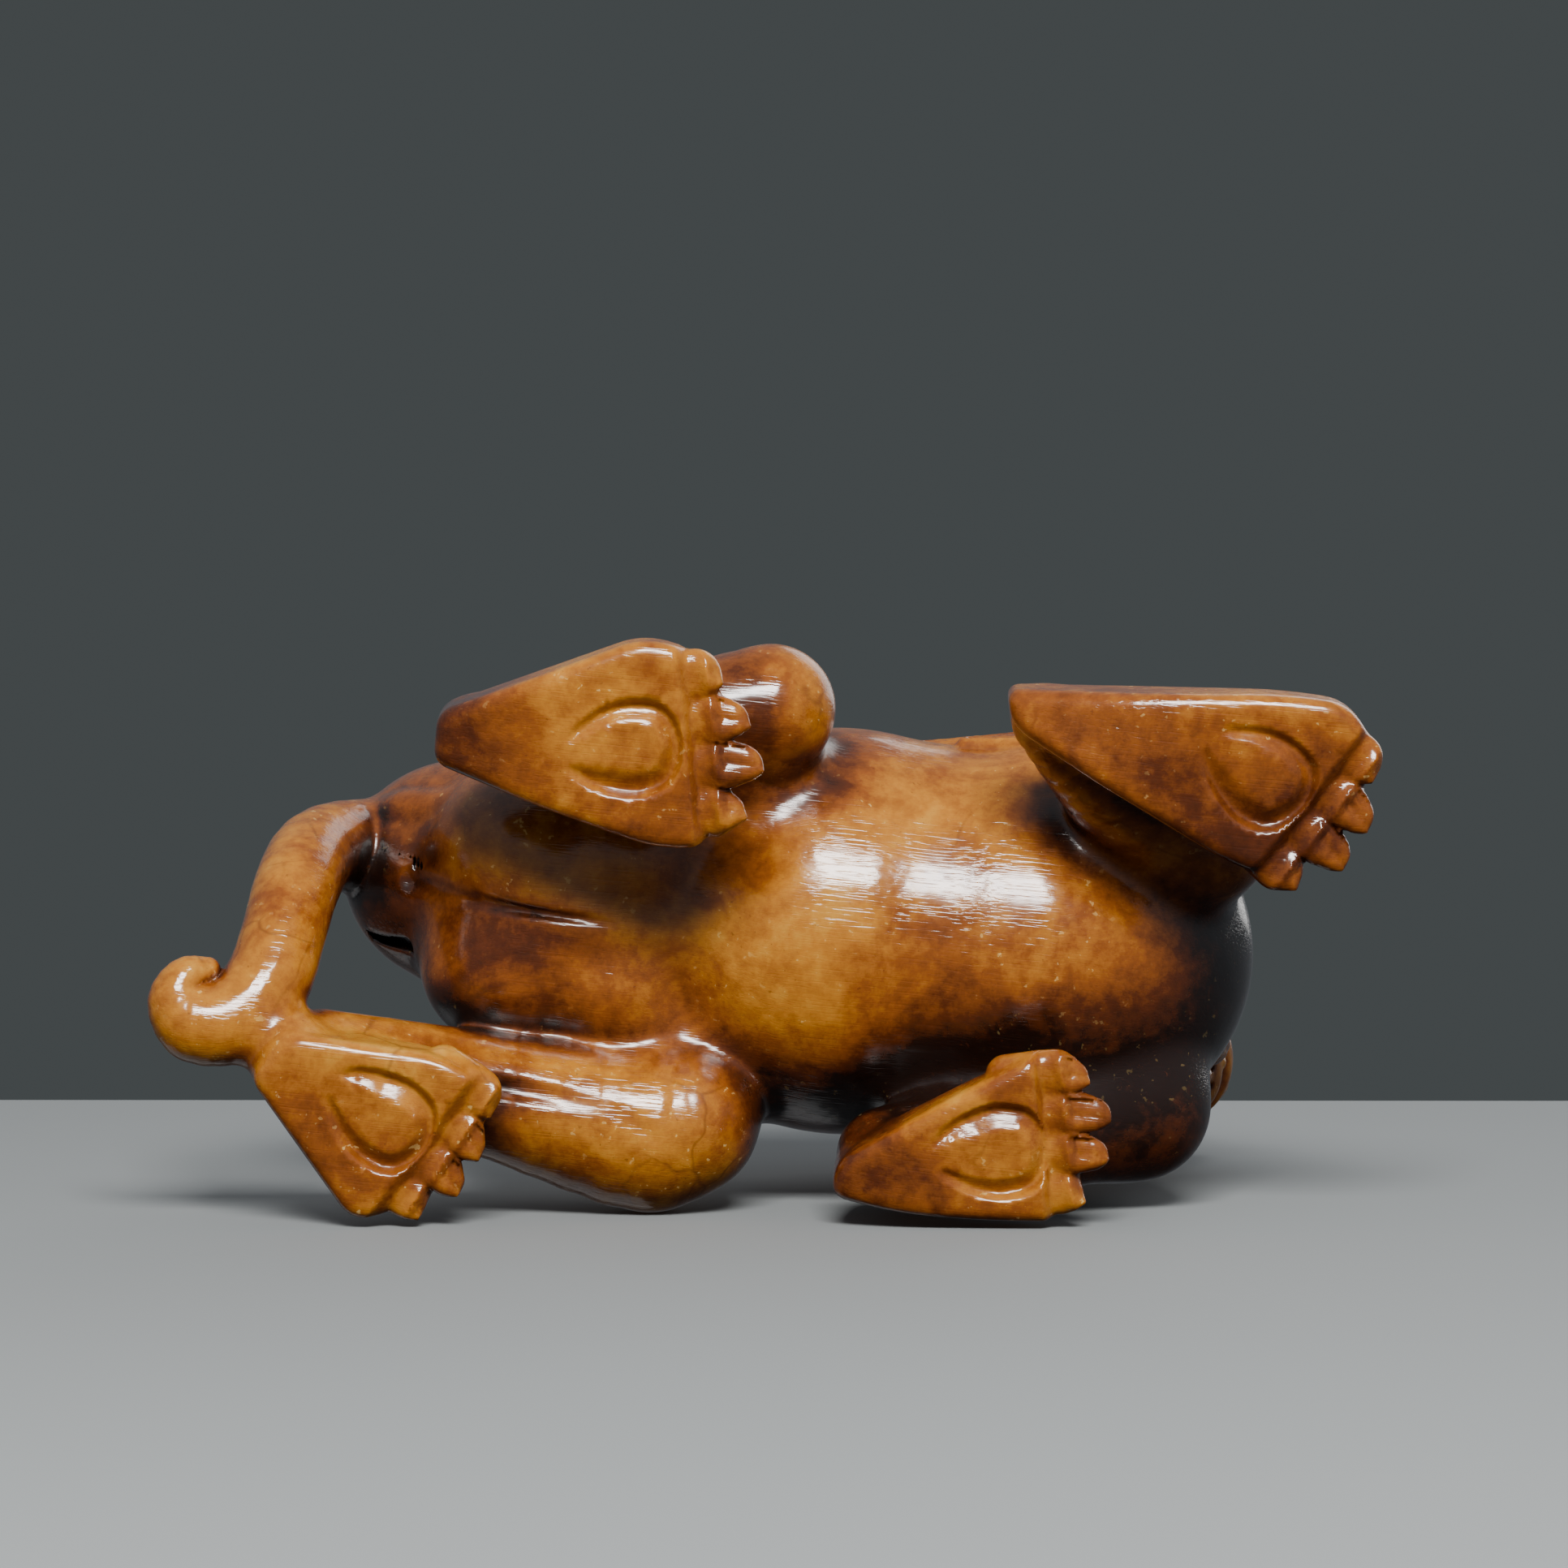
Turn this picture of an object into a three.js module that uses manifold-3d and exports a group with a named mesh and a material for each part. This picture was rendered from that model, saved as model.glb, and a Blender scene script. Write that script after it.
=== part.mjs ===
// A jade pixiu: a winged lion-like beast in a low prowl, carved from one pebble.
// It stands on the flat soles of its four paws. +X is forward, +Y its left, +Z up,
// and the origin is the middle of its footprint, on the ground.
import * as THREE from "three";
import Module from "manifold-3d";

// Driving sizes, in millimetres.
const LENGTH = 95; // from the curl of the tail to the farthest claw
const GRID_STEP = 0.95; // cell of the lattice that the carved surface is drawn on
const PAD_GROOVE = 1.4; // width of the groove round each sole's pad
const PAD_DEPTH = 0.6;
const TOE_CHANNEL = 1.5; // width of the channel between a sole and its toes
const CHANNEL_DEPTH = 0.55;
const TRIANGLES = 7600; // faces left on the carved surface
const CARE = { toes: 6, head: 2.5, rest: 1 }; // how closely the faces follow the figure

// Places and radii of the figure are in units of which its length takes 98.
const UNIT = LENGTH / 98;
const SIDES = { left: 1, right: -1 };
const SKIN = 0.12; // no point of the carved surface lies nearer the ground's plane than this
const BELOW = 0.4; // how far the soles' cutters start under the ground

// Sculptor's forms. Each has a centre, a reach and its distance to a point.

function blob(centre, radii, turn = [0, 0, 0]) {
  const [cx, cy, cz] = centre;
  const [rx, ry, rz] = radii;
  const back = new THREE.Matrix4()
    .makeRotationFromEuler(new THREE.Euler(...turn.map(THREE.MathUtils.degToRad), "ZYX"))
    .transpose().elements;
  const distance = (x, y, z) => {
    const px = x - cx;
    const py = y - cy;
    const pz = z - cz;
    const u = (back[0] * px + back[4] * py + back[8] * pz) / rx;
    const v = (back[1] * px + back[5] * py + back[9] * pz) / ry;
    const w = (back[2] * px + back[6] * py + back[10] * pz) / rz;
    const near = Math.hypot(u, v, w);
    if (near < 1e-6) return -Math.min(rx, ry, rz);
    return (near * (near - 1)) / Math.hypot(u / rx, v / ry, w / rz);
  };
  return { centre, reach: Math.max(rx, ry, rz), distance };
}

// A limb, lock or stroke: a smooth path of [x, y, z, radius] stations.
function limb(stations, pieces = 10) {
  const path = new THREE.CatmullRomCurve3(
    stations.map(([x, y, z]) => new THREE.Vector3(x, y, z)),
    false,
    "centripetal",
  );
  const last = stations.length - 1;
  const rows = [];
  for (let i = 0; i <= pieces; i++) {
    const t = i / pieces;
    const k = Math.min(Math.floor(t * last), last - 1);
    const radius = THREE.MathUtils.lerp(stations[k][3], stations[k + 1][3], t * last - k);
    rows.push([...path.getPoint(t).toArray(), radius]);
  }
  const middle = new THREE.Vector3();
  rows.forEach(([x, y, z]) => middle.add(new THREE.Vector3(x, y, z)));
  middle.divideScalar(rows.length);
  const reach = Math.max(
    ...rows.map(([x, y, z, r]) => Math.hypot(x - middle.x, y - middle.y, z - middle.z) + r),
  );
  const distance = (x, y, z) => {
    let least = Infinity;
    for (let i = 0; i < pieces; i++) {
      const [ax, ay, az, ar] = rows[i];
      const [bx, by, bz, br] = rows[i + 1];
      const dx = bx - ax;
      const dy = by - ay;
      const dz = bz - az;
      const along = ((x - ax) * dx + (y - ay) * dy + (z - az) * dz) / (dx * dx + dy * dy + dz * dz);
      const t = Math.min(1, Math.max(0, along));
      const gap = Math.hypot(x - ax - t * dx, y - ay - t * dy, z - az - t * dz) - ar - t * (br - ar);
      if (gap < least) least = gap;
    }
    return least;
  };
  return { centre: middle.toArray(), reach, distance };
}

const smoothMin = (a, b, k) => {
  const h = Math.max(k - Math.abs(a - b), 0);
  return Math.min(a, b) - (h * h) / (4 * k);
};
const smoothMax = (a, b, k) => -smoothMin(-a, -b, k);

// A convex outline on the ground, drawn up into a wedge whose heel is lifted.
function wedge(outline, toe, forward, { flat, lift, low, rise, round }) {
  const signed = new THREE.Vector2();
  const edges = outline.map(([ax, ay], i) => {
    const [bx, by] = outline[(i + 1) % outline.length];
    const length = Math.hypot(bx - ax, by - ay);
    return { ax, ay, nx: (by - ay) / length, ny: -(bx - ax) / length };
  });
  const mx = outline.reduce((sum, [x]) => sum + x, 0) / outline.length;
  const my = outline.reduce((sum, [, y]) => sum + y, 0) / outline.length;
  const facing = edges.every((e) => (mx - e.ax) * e.nx + (my - e.ay) * e.ny < 0) ? 1 : -1;
  const distance = (x, y, z) => {
    let side = -Infinity;
    for (const e of edges) {
      const gap = ((x - e.ax) * e.nx + (y - e.ay) * e.ny) * facing;
      side = side === -Infinity ? gap : smoothMax(side, gap, round);
    }
    signed.set(x - toe[0], y - toe[1]);
    const behind = -(signed.x * forward[0] + signed.y * forward[1]);
    const top = (z - low - rise * behind) / Math.hypot(1, rise);
    const heel = ((behind - flat) * lift - z) / Math.hypot(1, lift);
    return smoothMax(smoothMax(side, top, 2.2 * round), heel, round);
  };
  const reach = Math.max(...outline.map(([x, y]) => Math.hypot(x - mx, y - my))) + 4;
  return { centre: [mx, my, 5], reach: reach + 5, distance };
}

// The figure is a list of forms, joined or cut with a soft edge, in order.
class Figure {
  constructor() {
    this.steps = [];
  }
  add(form, soft) {
    this.steps.push({ ...form, soft, sign: 1 });
  }
  cut(form, soft) {
    this.steps.push({ ...form, soft, sign: -1 });
  }
  distance(x, y, z) {
    let d = 1e3;
    for (const s of this.steps) {
      const far = Math.hypot(x - s.centre[0], y - s.centre[1], z - s.centre[2]) - s.reach;
      if (s.sign > 0 ? far > d + s.soft : -far < d - s.soft) continue;
      const own = s.distance(x, y, z);
      d = s.sign > 0 ? smoothMin(d, own, s.soft) : smoothMax(d, -own, s.soft);
    }
    return Math.max(d, -1 - z);
  }

  // The box that holds every joined form, with room round it. The soles' underside is cut at -1.
  extent(room) {
    const added = this.steps.filter((s) => s.sign > 0);
    const low = [0, 1].map((i) => Math.min(...added.map((s) => s.centre[i] - s.reach)) - room);
    const high = [0, 1, 2].map((i) => Math.max(...added.map((s) => s.centre[i] + s.reach)) + room);
    return { low: [...low, -2], high };
  }
}

// The four feet, as they are planted. The toe line runs from its inner to its outer end.
const FEET = {
  right_hind: {
    outline: [[-28.8, -18.9], [-12.6, -26.9], [-8.6, -26.2], [-5.8, -10.4], [-9.5, -9.6], [-28.8, -14.6]],
    toeLine: [[-6.2, -11.4], [-8.9, -26.0]],
    reaches: [3.4, 5.2, 4.4, 2.4],
    pad: [-12.6, -17.9],
    flat: 13,
  },
  right_fore: {
    outline: [
      [17.2, -25.1], [41.8, -27.5], [44.6, -27.1], [47.0, -24.2],
      [39.6, -12.4], [36.8, -12.6], [28.4, -16.6], [17.9, -21.9],
    ],
    toeLine: [[39.0, -12.2], [46.6, -24.4]],
    reaches: [2.9, 5.0, 4.6, 2.3],
    pad: [38.6, -20.3],
    flat: 15,
  },
  left_hind: {
    outline: [[-38.6, 8.3], [-25.2, 9.0], [-21.9, 11.0], [-28.9, 22.9], [-32.2, 23.4], [-41.4, 12.4]],
    toeLine: [[-22.2, 10.4], [-29.3, 22.3]],
    reaches: [2.2, 3.6, 4.0, 2.5],
    pad: [-29.8, 14.9],
    flat: 30,
  },
  left_fore: {
    outline: [[7.0, 14.9], [11.8, 11.0], [22.9, 3.9], [25.7, 17.9], [15.2, 18.8], [7.0, 18.0]],
    toeLine: [[23.0, 4.4], [25.4, 17.4]],
    reaches: [3.6, 5.2, 4.7, 2.4],
    pad: [20.4, 12.4],
    flat: 13,
  },
};

// The toe line's middle, its direction across the foot and the way the toes point.
function toeFrame({ toeLine: [inner, outer] }) {
  const width = Math.hypot(outer[0] - inner[0], outer[1] - inner[1]);
  const across = [(outer[0] - inner[0]) / width, (outer[1] - inner[1]) / width];
  const turned = [across[1], -across[0]];
  const forward = turned[0] > 0 ? turned : [-turned[0], -turned[1]];
  return { inner, width, across, forward, middle: [(inner[0] + outer[0]) / 2, (inner[1] + outer[1]) / 2] };
}

function trunk(beast) {
  beast.add(blob([21, 0, 25.6], [20.3, 17.4, 17.4]), 0.5); // chest
  beast.add(blob([6, 0, 25.4], [19.5, 17.4, 16.9]), 2.5); // belly
  beast.add(blob([-15, -1, 26], [16, 15, 14.2]), 3.5); // loins
  beast.add(blob([-26.4, -1.2, 29.2], [10.8, 9.8, 10.6]), 2.5); // rump
  beast.add(blob([-17, 0, 20.4], [11, 9.5, 9.2]), 3);
  beast.add(blob([-21.0, 5.2, 18.2], [8.0, 6.4, 7.2]), 3); // left haunch
  beast.add(blob([-20.6, -6.0, 19.2], [8.0, 5.9, 7.2]), 3); // right haunch
  beast.add(blob([-13.5, 4.8, 17.6], [7.4, 6.4, 7.0]), 1.2); // the haunches end in a crease at the belly
  beast.add(blob([-13.0, -6.4, 18.0], [7.4, 6.2, 7.0]), 1.2);
  const foldByTail = [[-34.4, -5.2, 27.5, 1.2], [-32.0, -6.9, 24.6, 1.7], [-28.2, -7.6, 21.8, 1.6]];
  beast.add(limb(foldByTail), 0.8);
}

function hindLeg(beast, name, side) {
  if (name === "right_hind") {
    beast.add(limb([[-15, side * 8.5, 29, 10], [-10, side * 12, 23, 9], [-1.8, -20.0, 15.6, 5.0]]), 4);
    beast.add(limb([[-1.8, -20.0, 15.6, 4.8], [-14, -18.4, 12, 4.2], [-25.6, -16.8, 8.2, 3.0]]), 2);
    return;
  }
  beast.add(limb([[-15, side * 8.5, 29, 10], [-10, side * 12, 22, 9], [-6, 15.2, 14.4, 6]]), 4);
  const shank = [
    [-5.7, 15.3, 13.2, 6.1], [-9, 16.1, 13.6, 7.3], [-19.5, 14.6, 12, 5.6], [-36.2, 10.9, 7.6, 3.4],
  ];
  beast.add(limb(shank), 1.5);
  const crease = [[-21.5, 12.4, 6.9, 0.6], [-16, 12.7, 6.4, 0.8], [-11, 13.4, 6.1, 0.6], [-8, 15.4, 5.9, 0.3]];
  beast.cut(limb(crease), 0.9);
}

function foreLeg(beast, name, side) {
  const right = name === "right_fore";
  const elbow = right ? [20.9, -22.0, 8.4, 2.8] : [11.2, 15.6, 9.4, 4.0];
  const front = right ? [34.5, -13.2, 18, 6.4] : [32.0, 11.0, 17.2, 5.8];
  beast.add(limb([[24, side * 9.5, 30, 9], [28, side * 11.5, 24, 8], front]), 3);
  beast.add(limb([front, [(front[0] + elbow[0]) / 2, (front[1] + elbow[1]) / 2, 12.2, 5.4], elbow]), 2.5);
}

function foot(beast, plan) {
  const { inner, width, across, forward, middle } = toeFrame(plan);
  beast.add(
    wedge(plan.outline, middle, forward, { flat: plan.flat, lift: 0.32, low: 5.2, rise: 0.2, round: 1.3 }),
    1.2,
  );
  const pitch = width / 4;
  plan.reaches.forEach((reach, i) => {
    const offset = pitch * (i + 0.5);
    const at = (ahead, z) => [
      inner[0] + across[0] * offset + forward[0] * ahead,
      inner[1] + across[1] * offset + forward[1] * ahead,
      z,
    ];
    const thick = pitch * 0.53;
    const tip = reach - thick * 0.8;
    const knuckle = [...at(tip * 0.45, 1.6), thick * 1.1];
    const toe = [[...at(-3, 3.0), thick], knuckle, [...at(tip, 1.1), thick * 0.88]];
    beast.add(limb(toe, 6), 0.5);
  });
}

function tail(beast) {
  beast.add(
    limb(
      [
        [-29.5, -1.8, 33, 5.2], [-34.8, -2.8, 28.4, 4.2], [-38.8, -3.2, 21.8, 3.7], [-39.9, -1.3, 14.6, 3.6],
        [-40.3, 1.9, 10, 3.5], [-41.1, 5.6, 6.9, 3.6], [-43.4, 8.5, 5.3, 3.7], [-46.4, 8.9, 4.4, 3.4],
        [-48.1, 7.2, 4.4, 2.4], [-47.5, 5.3, 4.8, 1.7], [-45.9, 4.7, 5.4, 1.1],
      ],
      33,
    ),
    0.8,
  );
  beast.add(limb([[-41.5, 8.5, 6, 3.0], [-38.6, 10.6, 4.5, 3.4]], 3), 1.5); // where it leans on the heel
}

// The head is turned to the beast's left. Its forms are placed from the middle of the skull.
const HEAD = { skull: [27, 7, 47.4], turn: 30 };

function onHead([x, y, z, ...radius]) {
  const c = Math.cos(THREE.MathUtils.degToRad(HEAD.turn));
  const s = Math.sin(THREE.MathUtils.degToRad(HEAD.turn));
  return [HEAD.skull[0] + x * c - y * s, HEAD.skull[1] + x * s + y * c, HEAD.skull[2] + z, ...radius];
}
const headBlob = (centre, radii, nod = 0) => blob(onHead(centre), radii, [0, nod, HEAD.turn]);
const headLimb = (stations, pieces) => limb(stations.map(onHead), pieces);

function head(beast) {
  beast.add(limb([[19, 0, 33, 13.5], [22.5, 2.6, 40, 11.6], [25.5, 5.6, 45, 10]]), 5);
  beast.add(headBlob([0, 0, 0], [9.6, 9.6, 8.4]), 3);
  beast.add(headBlob([9.2, 0, -2.6], [7.4, 6.6, 5.0], 6), 2); // upper jaw
  beast.add(headBlob([8.2, 0, -8.4], [7.2, 5.6, 3.0], -6), 1.5); // lower jaw
  beast.cut(headBlob([14.6, 0, -5.8], [9, 5.0, 1.3]), 0.5); // open mouth
  beast.add(headBlob([14.8, 0, 0.2], [2.4, 3.2, 2.2]), 1.0); // nose
  for (const side of Object.values(SIDES)) {
    beast.add(headBlob([3.6, side * 7.6, -4.0], [5.4, 3.4, 4.8]), 1.5); // cheek
    const brow = [[10.6, side * 3.0, 3.8, 1.5], [7.2, side * 5.9, 5.2, 2.0], [2.4, side * 8.1, 4.0, 1.4]];
    beast.add(headLimb(brow), 0.8);
    beast.add(headBlob([7.4, side * 5.6, 1.6], [2.5, 2.3, 2.2]), 0.4); // eye
    const ear = [[-1.5, side * 8.4, 3.0, 2.5], [-5.4, side * 10.6, 4.8, 2.2], [-9.4, side * 11.0, 5.0, 1.3]];
    beast.add(headLimb(ear), 0.8);
    beast.add(headLimb([[13.4, side * 3.0, -4.6, 1.1], [13.8, side * 3.1, -7.4, 0.7]], 4), 0.3); // fang
    const curl = [[1.5, side * 9.0, -6.5, 2.6], [-3.5, side * 10.6, -7.5, 2.4], [-6.0, side * 10.0, -4.8, 1.6]];
    beast.add(headLimb(curl), 0.7);
    beast.cut(headBlob([16.3, side * 1.6, -0.2], [1.3, 0.8, 0.8]), 0.4); // nostril
  }
  const horn = [
    [3.5, 0, 6.8, 2.6], [-3.5, 0, 9.4, 2.4], [-11.5, 0, 8.0, 2.1], [-17, -1, 4.4, 1.8], [-20.5, -2, 2.6, 1.3],
  ];
  beast.add(headLimb(horn, 12), 1.0);
  beast.add(limb([[17, 4, 46.5, 7.5], [9, 1, 43.5, 5]]), 3); // nape under the horn
  for (const [y, low] of [[-4.2, 33], [-0.4, 30.5], [3.6, 29.5], [7.6, 30.5], [11.2, 33]]) {
    const out = 41.2 - 0.02 * (y - 2) ** 2;
    const root = [33.5, 2 + y * 0.9, 39.5, 3.0];
    beast.add(limb([root, [out - 2.2, 1 + y, low + 5, 2.4], [out - 1.6, y, low, 1.3]]), 0.5); // lock of the beard
  }
}

// Locks that fall from behind the ears down each side of the neck.
function mane(beast) {
  for (const side of Object.values(SIDES)) {
    for (let i = 0; i < 4; i++) {
      const x = 22.5 - 3.4 * i;
      const z = 39.5 + 3.2 * i;
      const middle = 1.4 + 1.2 * i;
      const y = (out) => middle + side * out;
      const out = 11.4 - 1.3 * i;
      const lock = [
        [x + 3, y(out - 0.8), z + 0.6, 2.7], [x - 2.5, y(out + 0.6), z - 1.8, 2.5],
        [x - 6.6, y(out), z - 1.4, 1.9], [x - 7.8, y(out - 0.2), z + 0.9, 1.5],
      ];
      beast.add(limb(lock), 0.6);
    }
  }
}

// Four swept feathers in low relief, from the shoulder back along the flank.
const FEATHERS = [
  { root: [31, 14.6, 27], bend: [23, 16.5, 25.4], tip: [15.2, 16.8, 26] },
  { root: [30.4, 14.2, 30], bend: [21, 16.0, 29.6], tip: [11.6, 15.4, 30.6] },
  { root: [29.8, 13.2, 33], bend: [19, 14.6, 33.6], tip: [8.2, 13.9, 35] },
  { root: [29.2, 11.6, 36], bend: [17.5, 12.5, 37.4], tip: [5, 11.6, 39] },
];

function wing(beast, side) {
  for (const { root, bend, tip } of FEATHERS) {
    const stations = [[...root, 2.3], [...bend, 2.0], [...tip, 1.0]];
    beast.add(limb(stations.map(([x, y, z, r]) => [x, side * y, z, r]), 8), 0.5);
  }
}

function backRidge(beast) {
  const count = 8;
  for (let i = 0; i < count; i++) {
    const x = 2.5 - (31 * i) / (count - 1);
    const z = 41.6 - 0.0016 * (x - 3) ** 2;
    beast.add(blob([x, -0.4, z], [2.5, 2.3, 1.9]), 0.8);
  }
}

function underside(beast) {
  const cleftOfHaunches = [
    [-31, -1.9, 19, 1.3], [-26, -1.8, 13.4, 0.9], [-18, -1.6, 11.2, 0.6], [-8.5, -1.3, 10.2, 0.3],
  ];
  beast.cut(limb(cleftOfHaunches), 0.9);
}

function carve() {
  const beast = new Figure();
  trunk(beast);
  for (const [name, plan] of Object.entries(FEET)) {
    const side = name.startsWith("left") ? SIDES.left : SIDES.right;
    if (name.endsWith("hind")) hindLeg(beast, name, side);
    else foreLeg(beast, name, side);
    foot(beast, plan);
  }
  tail(beast);
  head(beast);
  mane(beast);
  Object.values(SIDES).forEach((side) => wing(beast, side));
  backRidge(beast);
  underside(beast);
  return beast;
}

// The surface where the figure's distance is nought, by marching through the tetrahedra of a cubic lattice.
const KUHN = [[0, 1, 3, 7], [0, 3, 2, 7], [0, 2, 6, 7], [0, 6, 4, 7], [0, 4, 5, 7], [0, 5, 1, 7]];

function surface(figure, low, high, step) {
  const size = low.map((v, i) => Math.ceil((high[i] - v) / step) + 1);
  const index = (i, j, k) => i + size[0] * (j + size[1] * k);
  const value = new Float64Array(size[0] * size[1] * size[2]);
  for (let k = 0; k < size[2]; k++)
    for (let j = 0; j < size[1]; j++)
      for (let i = 0; i < size[0]; i++)
        value[index(i, j, k)] = figure.distance(low[0] + i * step, low[1] + j * step, low[2] + k * step);
  const points = [];
  const known = new Map();
  const faces = [];
  const corner = (n) => [n % size[0], Math.floor(n / size[0]) % size[1], Math.floor(n / (size[0] * size[1]))];
  const crossing = (a, b) => {
    const key = Math.min(a, b) * value.length + Math.max(a, b);
    if (!known.has(key)) {
      const t = Math.min(0.97, Math.max(0.03, value[a] / (value[a] - value[b])));
      const ca = corner(a);
      const cb = corner(b);
      known.set(key, points.length);
      points.push(ca.map((v, i) => low[i] + step * (v + t * (cb[i] - v))));
    }
    return known.get(key);
  };
  for (let k = 0; k < size[2] - 1; k++)
    for (let j = 0; j < size[1] - 1; j++)
      for (let i = 0; i < size[0] - 1; i++) {
        const cube = [];
        for (let c = 0; c < 8; c++) cube.push(index(i + (c & 1), j + ((c >> 1) & 1), k + (c >> 2)));
        const inside = cube.filter((n) => value[n] < 0).length;
        if (inside === 0 || inside === 8) continue;
        for (const [a, b, c, d] of KUHN) march([cube[a], cube[b], cube[c], cube[d]], value, crossing, faces);
      }
  return { points, faces };
}

// One tetrahedron, with its corners in right-handed order: one or two faces that look outwards.
function march(tet, value, crossing, faces) {
  const inner = [0, 1, 2, 3].filter((i) => value[tet[i]] < 0);
  if (inner.length === 0 || inner.length === 4) return;
  const outer = [0, 1, 2, 3].filter((i) => !inner.includes(i));
  const order = [...inner, ...outer];
  const flips = order.reduce((sum, v, i) => sum + order.slice(i + 1).filter((w) => w < v).length, 0);
  const even = flips % 2 === 0;
  const at = (i, j) => crossing(tet[i], tet[j]);
  const put = (a, b, c) => faces.push(even ? [a, b, c] : [a, c, b]);
  if (inner.length === 1) put(at(inner[0], outer[0]), at(inner[0], outer[1]), at(inner[0], outer[2]));
  else if (inner.length === 3) put(at(inner[0], outer[0]), at(inner[1], outer[0]), at(inner[2], outer[0]));
  else {
    const [a, b] = inner;
    const [c, d] = outer;
    put(at(a, c), at(a, d), at(b, d));
    put(at(a, c), at(b, d), at(b, c));
  }
}

// The care that a place is given: most at the toes, then the head.
function care([x, y, z]) {
  const toes = Object.values(FEET).some((plan) => {
    const { middle, forward } = toeFrame(plan);
    return z < 6.5 && Math.hypot(x - middle[0] - forward[0] * 2, y - middle[1] - forward[1] * 2) < 9.5;
  });
  if (toes) return CARE.toes;
  return z > 38 && x > 14 ? CARE.head : CARE.rest;
}

// Folds away the edges that matter least, by quadric error, until the wanted number of faces is left.
function thinned({ points, faces }, wanted) {
  const place = points.map((p) => [...p]);
  const error = points.map(() => new Float64Array(10));
  const around = points.map(() => new Set());
  const stamp = new Uint32Array(points.length);
  const whole = faces.map((f) => [...f]);
  whole.forEach((f, n) => {
    const [a, b, c] = f.map((v) => place[v]);
    const normal = cross(minus(b, a), minus(c, a));
    const twice = Math.hypot(...normal);
    f.forEach((v) => around[v].add(n));
    if (twice < 1e-12) return;
    const [x, y, z] = normal.map((v) => v / twice);
    const w = -(x * a[0] + y * a[1] + z * a[2]);
    const q = [x * x, x * y, x * z, x * w, y * y, y * z, y * w, z * z, z * w, w * w];
    const weight = (twice / 2) * care(a);
    f.forEach((v) => q.forEach((value, i) => (error[v][i] += value * weight)));
  });
  const ring = (v) => {
    const near = new Set();
    around[v].forEach((n) => whole[n].forEach((w) => w !== v && near.add(w)));
    return near;
  };
  const heap = [];
  const offer = (a, b) => {
    const q = error[a].map((v, i) => v + error[b][i]);
    const { spot, cost } = bestSpot(q, place[a], place[b]);
    push(heap, { a, b, spot, cost, when: stamp[a] + stamp[b] });
  };
  points.forEach((_, v) => ring(v).forEach((w) => w > v && offer(v, w)));
  let left = faces.length;
  while (left > wanted && heap.length > 0) {
    const { a, b, spot, when } = pop(heap);
    if (stamp[a] + stamp[b] !== when || around[a].size === 0 || around[b].size === 0) continue;
    const ringB = ring(b);
    if (!ringB.has(a)) continue;
    if ([...ring(a)].filter((v) => ringB.has(v)).length !== 2) continue;
    if (!staysFair(a, b, spot, around, whole, place)) continue;
    around[b].forEach((n) => {
      const f = whole[n];
      if (f.includes(a)) {
        f.forEach((v) => v !== b && around[v].delete(n));
        left -= 1;
      } else {
        f[f.indexOf(b)] = a;
        around[a].add(n);
      }
    });
    around[b].clear();
    place[a] = spot;
    error[b].forEach((v, i) => (error[a][i] += v));
    stamp[b] += 1;
    const near = ring(a);
    stamp[a] += 1;
    near.forEach((v) => offer(a, v));
  }
  const renamed = new Map();
  const kept = new Set();
  around.forEach((set) => set.forEach((n) => kept.add(n)));
  const corners = [];
  const rename = (v) => {
    if (!renamed.has(v)) {
      renamed.set(v, corners.length);
      corners.push(place[v]);
    }
    return renamed.get(v);
  };
  return { faces: [...kept].map((n) => whole[n].map(rename)), points: corners };
}

const minus = (a, b) => [a[0] - b[0], a[1] - b[1], a[2] - b[2]];
const cross = (a, b) => [a[1] * b[2] - a[2] * b[1], a[2] * b[0] - a[0] * b[2], a[0] * b[1] - a[1] * b[0]];
const dot = (a, b) => a[0] * b[0] + a[1] * b[1] + a[2] * b[2];

// Where a folded edge's point belongs, drawn slightly to the edge's middle.
function bestSpot(q, a, b) {
  const middle = [(a[0] + b[0]) / 2, (a[1] + b[1]) / 2, (a[2] + b[2]) / 2];
  const pull = 2e-3 * (q[0] + q[4] + q[7]) + 1e-9;
  const rows = [[q[0] + pull, q[1], q[2]], [q[1], q[4] + pull, q[5]], [q[2], q[5], q[7] + pull]];
  const right = [pull * middle[0] - q[3], pull * middle[1] - q[6], pull * middle[2] - q[8]];
  const whole = dot(rows[0], cross(rows[1], rows[2]));
  const spot = Math.abs(whole) < 1e-18 ? middle : [0, 1, 2].map((i) => {
    const swapped = rows.map((row, r) => row.map((v, c) => (c === i ? right[r] : v)));
    return dot(swapped[0], cross(swapped[1], swapped[2])) / whole;
  });
  const [x, y, z] = spot;
  const fit = q[0] * x * x + q[4] * y * y + q[7] * z * z + q[9]
    + 2 * (q[1] * x * y + q[2] * x * z + q[5] * y * z + q[3] * x + q[6] * y + q[8] * z);
  return { spot, cost: Math.max(fit, 0) + 2e-4 * dot(minus(a, b), minus(a, b)) };
}

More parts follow.
